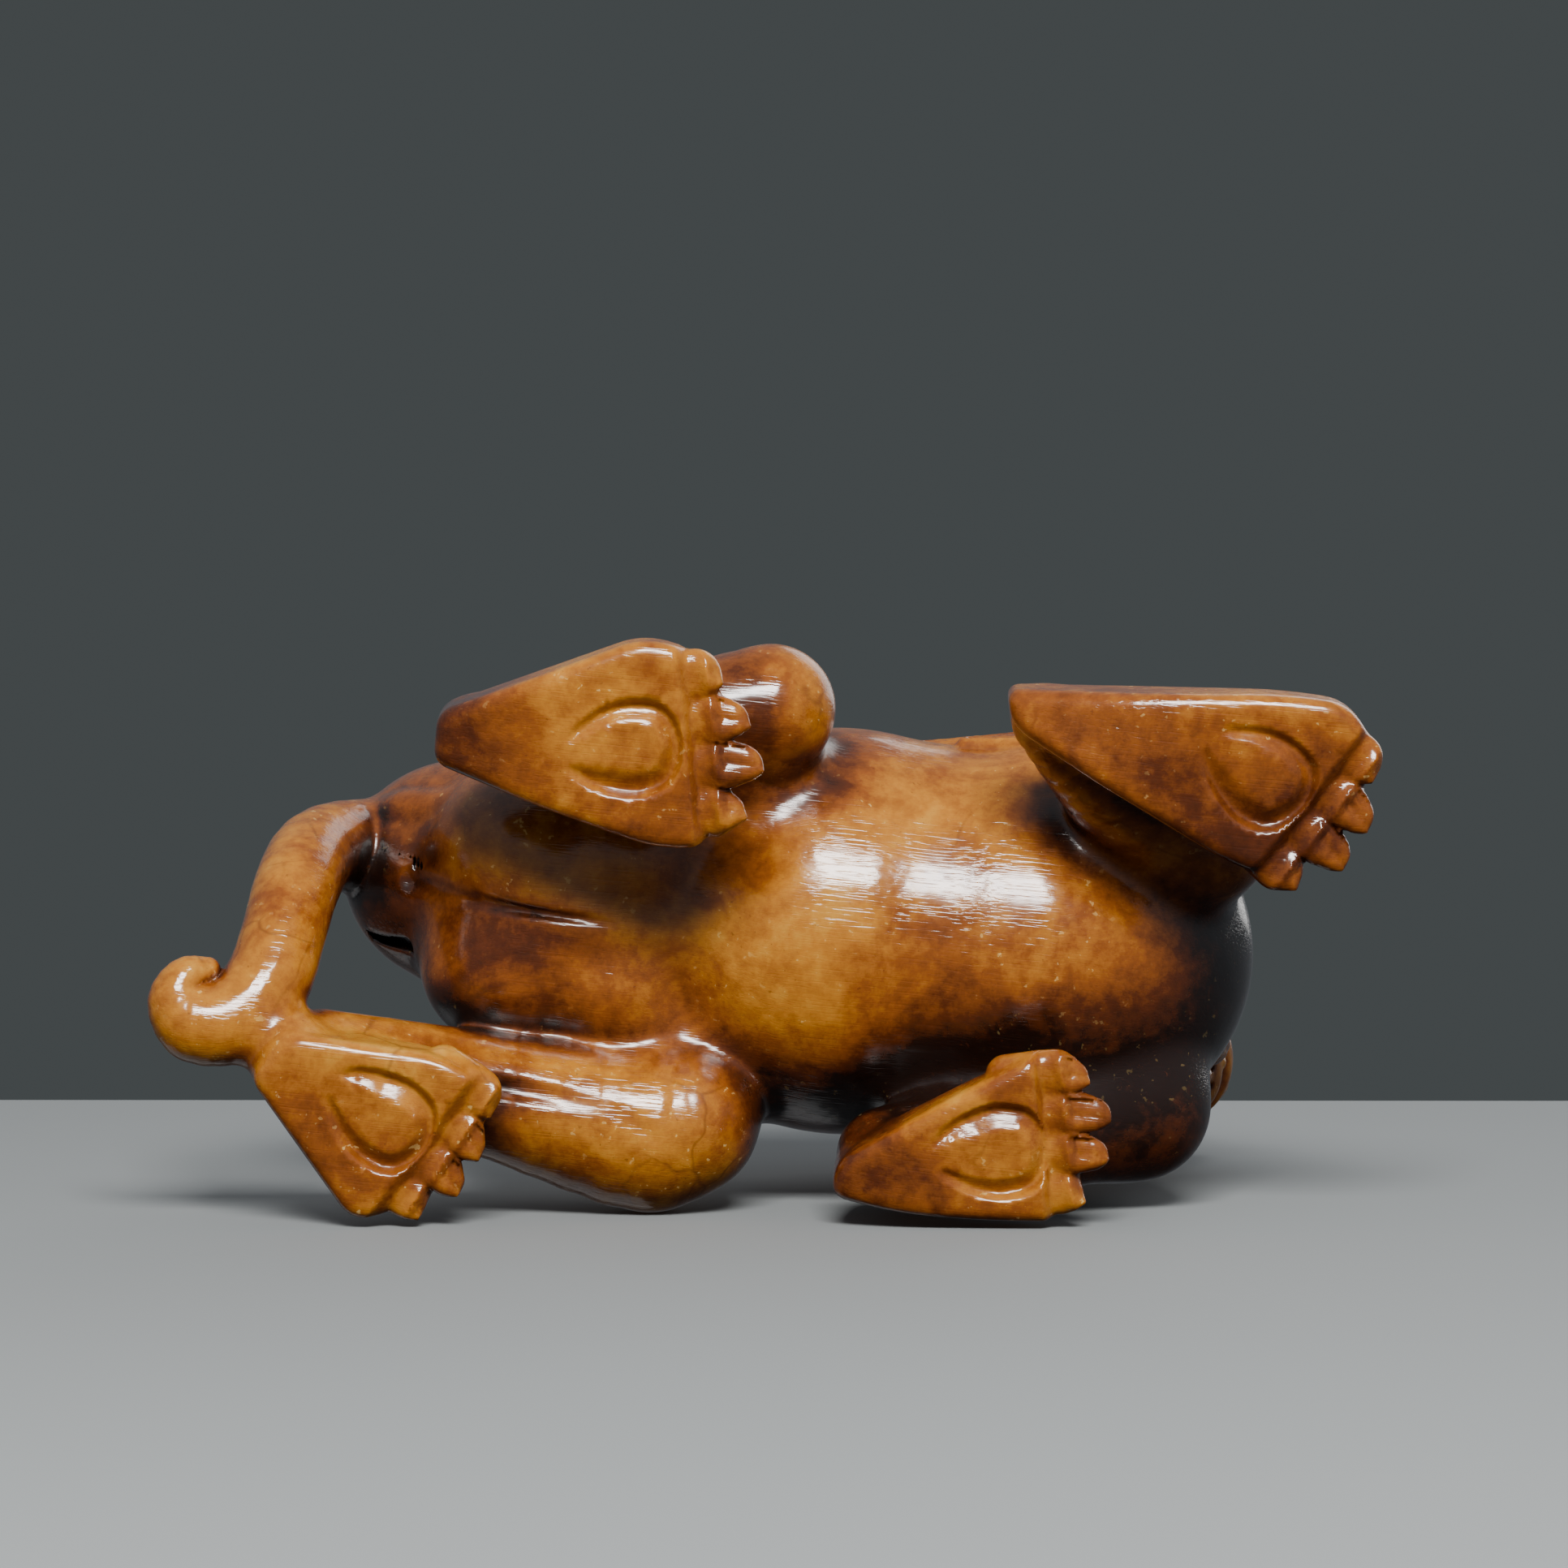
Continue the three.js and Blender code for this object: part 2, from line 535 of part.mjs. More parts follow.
// Whether the faces round a folded edge keep their side and stay fuller than slivers.
function staysFair(a, b, spot, around, whole, place) {
  for (const [own, other] of [[a, b], [b, a]])
    for (const n of around[own]) {
      const f = whole[n];
      if (f.includes(other)) continue;
      const old = f.map((v) => place[v]);
      const fresh = f.map((v) => (v === own ? spot : place[v]));
      const was = cross(minus(old[1], old[0]), minus(old[2], old[0]));
      const is = cross(minus(fresh[1], fresh[0]), minus(fresh[2], fresh[0]));
      if (dot(was, is) < 0.25 * Math.hypot(...was) * Math.hypot(...is)) return false;
      if (fullness(fresh) < Math.min(0.1, 0.8 * fullness(old))) return false;
    }
  return true;
}

function fullness(corners) {
  const longest = Math.max(...corners.map((p, i) => Math.hypot(...minus(p, corners[(i + 1) % 3]))));
  const twice = Math.hypot(...cross(minus(corners[1], corners[0]), minus(corners[2], corners[0])));
  return twice / longest ** 2;
}

function push(heap, item) {
  let i = heap.push(item) - 1;
  while (i > 0) {
    const up = (i - 1) >> 1;
    if (heap[up].cost <= heap[i].cost) break;
    [heap[up], heap[i]] = [heap[i], heap[up]];
    i = up;
  }
}

function pop(heap) {
  const top = heap[0];
  const end = heap.pop();
  if (heap.length === 0) return top;
  heap[0] = end;
  let i = 0;
  for (;;) {
    const l = 2 * i + 1;
    const r = l + 1;
    let least = i;
    if (l < heap.length && heap[l].cost < heap[least].cost) least = l;
    if (r < heap.length && heap[r].cost < heap[least].cost) least = r;
    if (least === i) return top;
    [heap[least], heap[i]] = [heap[i], heap[least]];
    i = least;
  }
}

// Cutters for the soles. A profile of [across, up] is swept along a path on the ground.
function swept(path, profile) {
  const points = [];
  const faces = [];
  const n = profile.length;
  path.forEach(([x, y], i) => {
    const [px, py] = path[Math.max(i - 1, 0)];
    const [qx, qy] = path[Math.min(i + 1, path.length - 1)];
    const length = Math.hypot(qx - px, qy - py);
    const nx = -(qy - py) / length;
    const ny = (qx - px) / length;
    profile.forEach(([across, up]) => points.push([x + nx * across, y + ny * across, up]));
    if (i === 0) return;
    for (let k = 0; k < n; k++) {
      const a = (i - 1) * n + k;
      const b = (i - 1) * n + ((k + 1) % n);
      faces.push([a, a + n, b], [b, a + n, b + n]);
    }
  });
  const end = (path.length - 1) * n;
  for (let k = 1; k < n - 1; k++) faces.push([0, k, k + 1], [end, end + k + 1, end + k]);
  return { points, faces };
}

function padGroove(plan) {
  const { across, forward } = toeFrame(plan);
  const half = [[-4.6, 1.7], [-2.4, 2.7], [0.2, 3.4], [2.6, 2.7]];
  const shape = [...half.map(([a, b]) => [a, -b]), [3.7, 0], ...half.reverse()];
  const curve = new THREE.CatmullRomCurve3(
    shape.map(([a, b]) => new THREE.Vector3(
      plan.pad[0] + forward[0] * a + across[0] * b,
      plan.pad[1] + forward[1] * a + across[1] * b,
      0,
    )),
  );
  const turn = forward[0] * across[1] - forward[1] * across[0];
  const inward = turn > 0 ? 1 : -1;
  const wide = PAD_GROOVE / UNIT;
  const deep = PAD_DEPTH / UNIT;
  const profile = [[-0.12 * inward, -BELOW], [0.1 * inward, deep], [(wide + 0.12) * inward, -BELOW]];
  return swept(curve.getPoints(18).map((p) => [p.x, p.y]), inward > 0 ? profile : profile.reverse());
}

function toeChannel(plan) {
  const { inner, width, across } = toeFrame(plan);
  const half = TOE_CHANNEL / UNIT / 2;
  const deep = CHANNEL_DEPTH / UNIT;
  const at = (t) => [inner[0] + across[0] * t, inner[1] + across[1] * t];
  const past = 2.2; // runs out beyond both ends of the toe line
  const profile = [[-half - 0.2, -BELOW], [-half + 0.1, deep], [half - 0.1, deep], [half + 0.2, -BELOW]];
  return swept([at(-past), at(width + past)], profile);
}

function groundBlock(low, high) {
  const box = new THREE.BoxGeometry(high[0] - low[0] + 8, high[1] - low[1] + 8, 8);
  const across = [(low[0] + high[0]) / 2, (low[1] + high[1]) / 2];
  const p = box.getAttribute("position");
  const known = new Map();
  const points = [];
  const name = (n) => {
    const at = [p.getX(n) + across[0], p.getY(n) + across[1], p.getZ(n) - 4];
    const key = at.join();
    if (!known.has(key)) {
      known.set(key, points.length);
      points.push(at);
    }
    return known.get(key);
  };
  const order = [...box.getIndex().array].map(name);
  return { points, faces: Array.from({ length: order.length / 3 }, (_, i) => order.slice(3 * i, 3 * i + 3)) };
}

const wasm = await Module();
wasm.setup();

function solid({ points, faces }) {
  return new wasm.Manifold(new wasm.Mesh({
    numProp: 3,
    vertProperties: new Float32Array(points.flat().map((v) => v * UNIT)),
    triVerts: new Uint32Array(faces.flat()),
  }));
}

const beast = carve();
const { low, high } = beast.extent(3);
const surfaceMesh = thinned(surface(beast, low, high, GRID_STEP / UNIT), TRIANGLES);
surfaceMesh.points.forEach((p) => {
  if (Math.abs(p[2]) < SKIN) p[2] = p[2] < 0 ? -SKIN : SKIN;
});
let jade = solid(surfaceMesh).subtract(solid(groundBlock(low, high)));
for (const plan of Object.values(FEET)) {
  jade = jade.subtract(solid(toeChannel(plan))).subtract(solid(padGroove(plan)));
}

const cut = jade.getMesh();
const positions = [];
for (let i = 0; i < cut.vertProperties.length; i += cut.numProp) {
  positions.push(...cut.vertProperties.slice(i, i + 3));
}
const geometry = new THREE.BufferGeometry();
geometry.setAttribute("position", new THREE.Float32BufferAttribute(positions, 3));
geometry.setIndex([...cut.triVerts]);
geometry.computeBoundingBox();
const middle = geometry.boundingBox.getCenter(new THREE.Vector3());
geometry.translate(-middle.x, -middle.y, -geometry.boundingBox.min.z);
geometry.computeVertexNormals();

const stone = new THREE.MeshStandardMaterial({ color: 0x9a5a1e, roughness: 0.25 });
const carving = new THREE.Mesh(geometry, stone);
carving.name = "pixiu_carving";
const row = new THREE.Group();
row.add(carving);
export default row;
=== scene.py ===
"""A jade pixiu carving in polished honey to russet stone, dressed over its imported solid.

The carving is drawn again, finer than the solid, from the same sculptor's forms: blobs and
tapered strokes that are joined or cut with a soft edge. Its places and radii are in figure
units, of which the length takes about 98, measured from the middle of the planted feet.
"""

import logging
import math
from dataclasses import dataclass, field
from enum import Enum
from typing import Sequence

import bpy
import numpy as np
from mathutils import Euler, Matrix, Vector


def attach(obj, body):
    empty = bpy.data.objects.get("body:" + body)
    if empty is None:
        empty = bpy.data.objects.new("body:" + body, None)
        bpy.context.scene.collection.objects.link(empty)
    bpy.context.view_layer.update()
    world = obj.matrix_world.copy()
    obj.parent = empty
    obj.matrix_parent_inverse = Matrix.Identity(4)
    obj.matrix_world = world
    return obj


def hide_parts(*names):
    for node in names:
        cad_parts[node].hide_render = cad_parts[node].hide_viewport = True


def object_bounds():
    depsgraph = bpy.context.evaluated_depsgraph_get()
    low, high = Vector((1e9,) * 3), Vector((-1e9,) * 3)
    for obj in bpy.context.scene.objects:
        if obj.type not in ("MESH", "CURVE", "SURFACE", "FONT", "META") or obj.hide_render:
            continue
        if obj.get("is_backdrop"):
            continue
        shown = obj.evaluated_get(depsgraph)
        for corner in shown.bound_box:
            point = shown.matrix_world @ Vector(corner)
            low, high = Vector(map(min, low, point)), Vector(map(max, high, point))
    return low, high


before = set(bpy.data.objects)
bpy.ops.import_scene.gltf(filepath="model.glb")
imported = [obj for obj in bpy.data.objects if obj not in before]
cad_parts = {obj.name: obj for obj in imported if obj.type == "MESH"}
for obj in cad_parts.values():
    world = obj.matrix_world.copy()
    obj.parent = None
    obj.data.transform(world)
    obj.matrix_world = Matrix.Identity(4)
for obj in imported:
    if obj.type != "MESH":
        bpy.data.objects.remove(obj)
CAD_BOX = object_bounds()

log = logging.getLogger("pixiu")

MM = 0.001
LENGTH = 95.0  # mm that 98 figure units take, about from the tail's curl to the farthest claw
UNIT = LENGTH / 98 * MM  # one figure unit in metres
NODE = "pixiu_carving"
FAR = 1e3  # stands for a distance that no form reaches
SOLE_ZONE = 3.0  # height in figure units below which the soles' cuts are felt

Array = np.ndarray
Point = Sequence[float]
Tree = bpy.types.NodeTree
Socket = bpy.types.NodeSocket


class Side(Enum):
    """The beast's two sides, as the sign of Y."""

    LEFT = 1
    RIGHT = -1


class Act(Enum):
    """Whether a form is joined to the figure or cut out of it."""

    JOIN = 1
    CUT = -1


def soft_min(a: Array, b: Array, soft: float) -> Array:
    """The lesser of two distances, rounded where they meet."""
    h = np.maximum(soft - np.abs(a - b), 0.0)
    return np.minimum(a, b) - h * h / (4 * soft)


def soft_max(a: Array, b: Array, soft: float) -> Array:
    """The greater of two distances, rounded where they meet."""
    return -soft_min(-a, -b, soft)


@dataclass
class Blob:
    """An ellipsoid, turned about X, then Y, then Z, in degrees."""

    centre: Point
    radii: Point
    turn: Point = (0.0, 0.0, 0.0)

    def boxes(self) -> list[tuple[Array, Array]]:
        """The one box that holds the form."""
        reach = max(self.radii)
        centre = np.array(self.centre, float)
        return [(centre - reach, centre + reach)]

    def distance(self, x: Array, y: Array, z: Array, part: int = 0) -> Array:
        """Distance from the surface, less than nought inside.

        Args:
            x, y, z: Places in figure units.
            part: Not used, as a blob has one part.

        Returns:
            The distances, to first order.
        """
        turn = [math.radians(v) for v in self.turn]
        back = np.array(Euler(turn, "XYZ").to_matrix().transposed(), dtype=np.float32)
        px, py, pz = x - self.centre[0], y - self.centre[1], z - self.centre[2]
        rx, ry, rz = self.radii
        u = (back[0, 0] * px + back[0, 1] * py + back[0, 2] * pz) / rx
        v = (back[1, 0] * px + back[1, 1] * py + back[1, 2] * pz) / ry
        w = (back[2, 0] * px + back[2, 1] * py + back[2, 2] * pz) / rz
        near = np.sqrt(u * u + v * v + w * w)
        slope = np.sqrt((u / rx) ** 2 + (v / ry) ** 2 + (w / rz) ** 2)
        return np.where(near < 1e-4, -min(self.radii), near * (near - 1) / np.maximum(slope, 1e-6))


class Limb:
    """A limb, lock or stroke: a smooth path of (x, y, z, radius) stations."""

    def __init__(self, stations: Sequence[Point], pieces: int = 10) -> None:
        """Lays the path through the stations.

        Args:
            stations: Place and radius of each station.
            pieces: Number of straight cones that the path is made of.
        """
        self.rows = self.path(np.array(stations, float), pieces)

    @staticmethod
    def path(stations: Array, pieces: int) -> Array:
        """Points of a centripetal curve through the stations, with the radius beside them.

        Args:
            stations: One row of x, y, z and radius for each station.
            pieces: Number of stretches.

        Returns:
            Rows of x, y, z and radius.
        """
        places, radii = stations[:, :3], stations[:, 3]
        before = 2 * places[0] - places[1]
        after = 2 * places[-1] - places[-2]
        knots = np.vstack([before, places, after])
        last = len(places) - 1
        rows = []
        for i in range(pieces + 1):
            along = i / pieces * last
            k = min(int(along + 1e-9), last - 1)
            t = along - k
            p0, p1, p2, p3 = knots[k : k + 4]
            pairs = ((p0, p1), (p1, p2), (p2, p3))
            d0, d1, d2 = (max(np.linalg.norm(b - a), 1e-6) ** 0.5 for a, b in pairs)
            t1 = ((p1 - p0) / d0 - (p2 - p0) / (d0 + d1) + (p2 - p1) / d1) * d1
            t2 = ((p2 - p1) / d1 - (p3 - p1) / (d1 + d2) + (p3 - p2) / d2) * d1
            spot = p1 + t1 * t + (3 * (p2 - p1) - 2 * t1 - t2) * t**2 + (2 * (p1 - p2) + t1 + t2) * t**3
            rows.append([*spot, radii[k] + (radii[k + 1] - radii[k]) * t])
        return np.array(rows)

    def boxes(self) -> list[tuple[Array, Array]]:
        """A box for each cone of the path."""
        found = []
        for a, b in zip(self.rows[:-1], self.rows[1:]):
            wide = max(a[3], b[3])
            found.append((np.minimum(a[:3], b[:3]) - wide, np.maximum(a[:3], b[:3]) + wide))
        return found

    def distance(self, x: Array, y: Array, z: Array, part: int) -> Array:
        """Distance from one cone of the path.

        Args:
            x, y, z: Places in figure units.
            part: Number of the cone.

        Returns:
            The distances.
        """
        ax, ay, az, ar = self.rows[part]
        bx, by, bz, br = self.rows[part + 1]
        dx, dy, dz = bx - ax, by - ay, bz - az
        whole = dx * dx + dy * dy + dz * dz
        t = np.clip(((x - ax) * dx + (y - ay) * dy + (z - az) * dz) / whole, 0, 1)
        gap = np.sqrt((x - ax - t * dx) ** 2 + (y - ay - t * dy) ** 2 + (z - az - t * dz) ** 2)
        return gap - ar - t * (br - ar)


@dataclass
class Foot:
    """A planted foot: its sole's outline, and its toe line from the inner to the outer end."""

    outline: Sequence[Point]
    toe_line: Sequence[Point]
    reaches: Sequence[float]
    pad: Point
    flat: float

    def __post_init__(self) -> None:
        """Works out the toe line's frame."""
        inner, outer = (np.array(p, float) for p in self.toe_line)
        self.inner = inner
        self.width = float(np.linalg.norm(outer - inner))
        self.across = (outer - inner) / self.width
        turned = np.array([self.across[1], -self.across[0]])
        self.forward = turned if turned[0] > 0 else -turned
        self.middle = (inner + outer) / 2

    def at(self, offset: float, ahead: float, z: float) -> list[float]:
        """A place from the distance along the toe line, the distance ahead of it and the height."""
        x, y = self.inner + self.across * offset + self.forward * ahead
        return [float(x), float(y), z]

    def ahead_and_along(self, x: Array, y: Array) -> tuple[Array, Array]:
        """Distances ahead of the toe line, and along it from its inner end.

        Args:
            x, y: Places in figure units.

        Returns:
            The two distances at each place.
        """
        ahead = (x - self.middle[0]) * self.forward[0] + (y - self.middle[1]) * self.forward[1]
        along = (x - self.inner[0]) * self.across[0] + (y - self.inner[1]) * self.across[1]
        return ahead, along


@dataclass
class Wedge:
    """A foot's outline drawn up into a wedge whose heel is lifted."""

    foot: Foot
    lift: float = 0.32
    low: float = 5.2
    rise: float = 0.2
    round: float = 1.3
    rounder_top: float = 2.2  # times the rounding of the sides
    margin: float = 1.5
    heights: Point = (-2.0, 14.0)

    def boxes(self) -> list[tuple[Array, Array]]:
        """The one box that holds the wedge."""
        flat = np.array(self.foot.outline, float)
        low, high = flat.min(0) - self.margin, flat.max(0) + self.margin
        return [(np.array([*low, self.heights[0]]), np.array([*high, self.heights[1]]))]

    def distance(self, x: Array, y: Array, z: Array, part: int = 0) -> Array:
        """Distance from the wedge.

        Args:
            x, y, z: Places in figure units.
            part: Not used, as a wedge has one part.

        Returns:
            The distances.
        """
        flat = np.array(self.foot.outline, float)
        centre = flat.mean(0)
        side = None
        for a, b in zip(flat, np.roll(flat, -1, axis=0)):
            length = np.linalg.norm(b - a)
            normal = np.array([b[1] - a[1], a[0] - b[0]]) / length
            if (centre - a) @ normal > 0:
                normal = -normal
            gap = (x - a[0]) * normal[0] + (y - a[1]) * normal[1]
            side = gap if side is None else soft_max(side, gap, self.round)
        ahead, _ = self.foot.ahead_and_along(x, y)
        top = (z - self.low + self.rise * ahead) / math.hypot(1, self.rise)
        heel = ((-ahead - self.foot.flat) * self.lift - z) / math.hypot(1, self.lift)
        return soft_max(soft_max(side, top, self.rounder_top * self.round), heel, self.round)


Form = Blob | Limb | Wedge


@dataclass
class SoleRelief:
    """Cuts in a flat sole: the toes' undersides, the channel behind them and the line round the pad."""

    foot: Foot
    channel_ahead: float = 0.35  # from the toe line to the channel's middle
    channel_half: float = 1.45
    channel_deep: float = 0.75
    groove_wide: float = 1.9
    groove_deep: float = 0.8
    wall: float = 0.8
    trough: float = 1.4  # above 1 the channel's floor is flatter than a plain wave
    toe_deep: float = 0.8
    toe_start: float = 1.25  # how far ahead of the toe line the toes begin
    toe_slant: float = 0.18
    toe_ease: float = 0.9  # over which the undersides reach their full depth
    toe_step: float = 0.08  # share of a toe's width that its steep side takes
    toe_rise: float = 0.42  # share of it that the slanted side takes
    toe_end: float = 0.86  # share of it where the slant runs out
    past_toes: float = 3.0  # how far the cuts run beyond both ends of the toe line
    claw_reach: float = 9.0  # farther ahead than any claw
    line_pieces: int = 44
    # Ahead of the pad's middle and across it, with the width and depth of the groove there.
    pad_line: Sequence[Point] = (
        (-5.6, -0.7, 0.1, 0.0), (-4.2, -2.0, 0.6, 0.55), (-2.2, -3.0, 1.0, 0.95), (0.2, -3.5, 1.0, 1.0),
        (2.5, -2.7, 0.85, 1.0), (3.6, 0.0, 0.7, 1.0), (2.6, 2.7, 0.75, 1.0), (0.2, 3.4, 0.75, 0.95),
        (-2.2, 2.9, 0.6, 0.7), (-4.2, 1.7, 0.35, 0.4), (-5.4, 0.8, 0.1, 0.0),
    )

    def depth(self, x: Array, y: Array) -> Array:
        """How far the sole is cut up above the ground.

        Args:
            x, y: Places in figure units.

        Returns:
            The depths, nought where nothing is cut.
        """
        return np.maximum(np.maximum(self.channel(x, y), self.groove(x, y)), self.shingles(x, y))

    def shingles(self, x: Array, y: Array) -> Array:
        """Depth of the toes' slanted undersides, each of which ends in a steep step at the next toe."""
        foot = self.foot
        ahead, along = foot.ahead_and_along(x, y)
        pitch = foot.width / len(foot.reaches)
        right_to_left = along if foot.across[1] > 0 else foot.width - along
        share = (right_to_left - self.toe_slant * (ahead - self.toe_start)) / pitch
        number = np.clip(np.floor(share), 0, len(foot.reaches) - 1)
        share = share - number
        slope = np.minimum((share + 0.02) / self.toe_step, (self.toe_end - share) / self.toe_rise)
        start = np.clip((ahead - self.toe_start) / self.toe_ease, 0, 1)
        beside = (along > -self.past_toes) & (along < foot.width + self.past_toes)
        inside = beside & (ahead < self.claw_reach)
        return np.where(inside, self.toe_deep * np.clip(slope, 0, 1) * start, 0.0)

    def channel(self, x: Array, y: Array) -> Array:
        """Depth of the channel, a shallow trough with a rounded floor."""
        foot = self.foot
        ahead, along = foot.ahead_and_along(x, y)
        aside = np.clip(np.abs(ahead - self.channel_ahead) / self.channel_half, 0, 1)
        inside = (along > -self.past_toes) & (along < foot.width + self.past_toes)
        return np.where(inside, self.channel_deep * (0.5 + 0.5 * np.cos(math.pi * aside**self.trough)), 0.0)

    def groove(self, x: Array, y: Array) -> Array:
        """Depth of the line round the pad: steep outside, with a long slant inwards."""
        foot = self.foot
        middle = np.array(foot.pad)
        stations = [
            [*(middle + foot.forward * a + foot.across * b), 0.0, w] for a, b, w, _ in self.pad_line
        ]
        depths = np.array([[a, b, 0.0, d] for a, b, _, d in self.pad_line], float)
        rows = Limb.path(np.array(stations, float), self.line_pieces)
        deep = Limb.path(depths, self.line_pieces)[:, 3]
        turn = foot.forward[0] * foot.across[1] - foot.forward[1] * foot.across[0]
        inward = 1.0 if turn > 0 else -1.0
        nearest = np.full(np.shape(x), FAR)
        cut = np.zeros(np.shape(x))
        for i in range(len(rows) - 1):
            ax, ay, _, aw = rows[i]
            bx, by, _, bw = rows[i + 1]
            dx, dy = bx - ax, by - ay
            whole = dx * dx + dy * dy
            t = np.clip(((x - ax) * dx + (y - ay) * dy) / whole, 0, 1)
            gx, gy = x - ax - t * dx, y - ay - t * dy
            gap = np.sqrt(gx * gx + gy * gy)
            inside = (dx * gy - dy * gx) * inward > 0
            wide = self.groove_wide * (aw + t * (bw - aw))
            depth = self.groove_deep * (deep[i] + t * (deep[i + 1] - deep[i]))
            slant = np.where(inside, 1 - gap / np.maximum(wide, 1e-3), 1 - gap / self.wall)
            slant = np.clip(slant, 0, 1)
            closer = gap < nearest
            cut = np.where(closer, depth * slant * slant * (3 - 2 * slant), cut)
            nearest = np.where(closer, gap, nearest)
        return cut


@dataclass
class Head:
    """The frame of the head, which is turned to the beast's left."""

    skull: Point = (27.0, 7.0, 47.4)
    turn: float = 30.0

    def at(self, spot: Point) -> list[float]:
        """A place, or a station with its radius, from the middle of the skull."""
        c, s = math.cos(math.radians(self.turn)), math.sin(math.radians(self.turn))
        x, y, z, *radius = spot
        return [self.skull[0] + x * c - y * s, self.skull[1] + x * s + y * c, self.skull[2] + z, *radius]

    def blob(self, centre: Point, radii: Point, nod: float = 0.0) -> Blob:
        """A blob of the head."""
        return Blob(self.at(centre), radii, (0.0, nod, self.turn))

    def limb(self, stations: Sequence[Point], pieces: int = 10) -> Limb:
        """A stroke of the head."""
        return Limb([self.at(s) for s in stations], pieces)


class Figure:
    """The forms in the order of the sculptor's work, and the soles' relief."""

    def __init__(self) -> None:
        """Starts with nothing carved."""
        self.steps: list[tuple[Form, float, Act]] = []
        self.soles: list[SoleRelief] = []
        self.sole_edge = 1.3
        self.sole_reach = 24.0  # farther than any sole's edge is from its middle

    def add(self, form: Form, soft: float) -> None:
        """Joins a form with a soft edge."""
        self.steps.append((form, soft, Act.JOIN))

    def cut(self, form: Form, soft: float) -> None:
        """Cuts a form out with a soft edge."""
        self.steps.append((form, soft, Act.CUT))

    def mix(self, held: Array, own: Array, soft: float, act: Act) -> Array:
        """What the held distances become when a form is joined or cut."""
        return soft_min(held, own, soft) if act is Act.JOIN else soft_max(held, -own, soft)

    def ground(self, held: Array, x: Array, y: Array, z: Array) -> Array:
        """Cuts the soles flat, with their channels and pad lines."""
        depth = np.zeros(np.shape(x))
        for sole in self.soles:
            outline = np.array(sole.foot.outline, float)
            near = np.hypot(x - outline[:, 0].mean(), y - outline[:, 1].mean()) < self.sole_reach
            if np.any(near):
                depth = np.where(near, np.maximum(depth, sole.depth(x, y)), depth)
        return soft_max(held, depth - z, self.sole_edge)

    def near(self, points: Array, room: float) -> list[list[Array]]:
        """For each part of each form, the numbers of the points that it can touch.

        Args:
            points: One row of x, y, z for each point.
            room: How far outside a part's box a point still counts.

        Returns:
            Lists of point numbers, one for each part of each form.
        """
        found = []
        for form, soft, _ in self.steps:
            rows = []
            for low, high in form.boxes():
                pad = soft + room
                rows.append(np.nonzero(((points > low - pad) & (points < high + pad)).all(1))[0])
            found.append(rows)
        return found

    def distance(self, points: Array, near: list[list[Array]]) -> Array:
        """Distance of free points from the figure.

        Args:
            points: One row of x, y, z for each point.
            near: What near() gave for these points.

        Returns:
            The distances.
        """
        x, y, z = points.T
        held = np.full(len(points), FAR)
        for (form, soft, act), rows in zip(self.steps, near):
            touched = np.unique(np.concatenate(rows))
            own = np.full(len(points), FAR)
            for part, row in enumerate(rows):
                own[row] = np.minimum(own[row], form.distance(x[row], y[row], z[row], part))
            held[touched] = self.mix(held[touched], own[touched], soft, act)
        low = z < SOLE_ZONE
        held[low] = self.ground(held[low], x[low], y[low], z[low])
        return held

    def slope(self, points: Array, near: list[list[Array]], small: float = 0.03) -> tuple[Array, Array]:
        """Distance and its gradient at free points.

        Args:
            points: One row of x, y, z for each point.
            near: What near() gave for these points.
            small: Step of the differences.

        Returns:
            The distances, and one row of the gradient for each point.
        """
        rows = []
        for axis in range(3):
            step = np.zeros(3)
            step[axis] = small
            rows.append(self.distance(points + step, near) - self.distance(points - step, near))
        return self.distance(points, near), np.stack(rows, 1) / (2 * small)


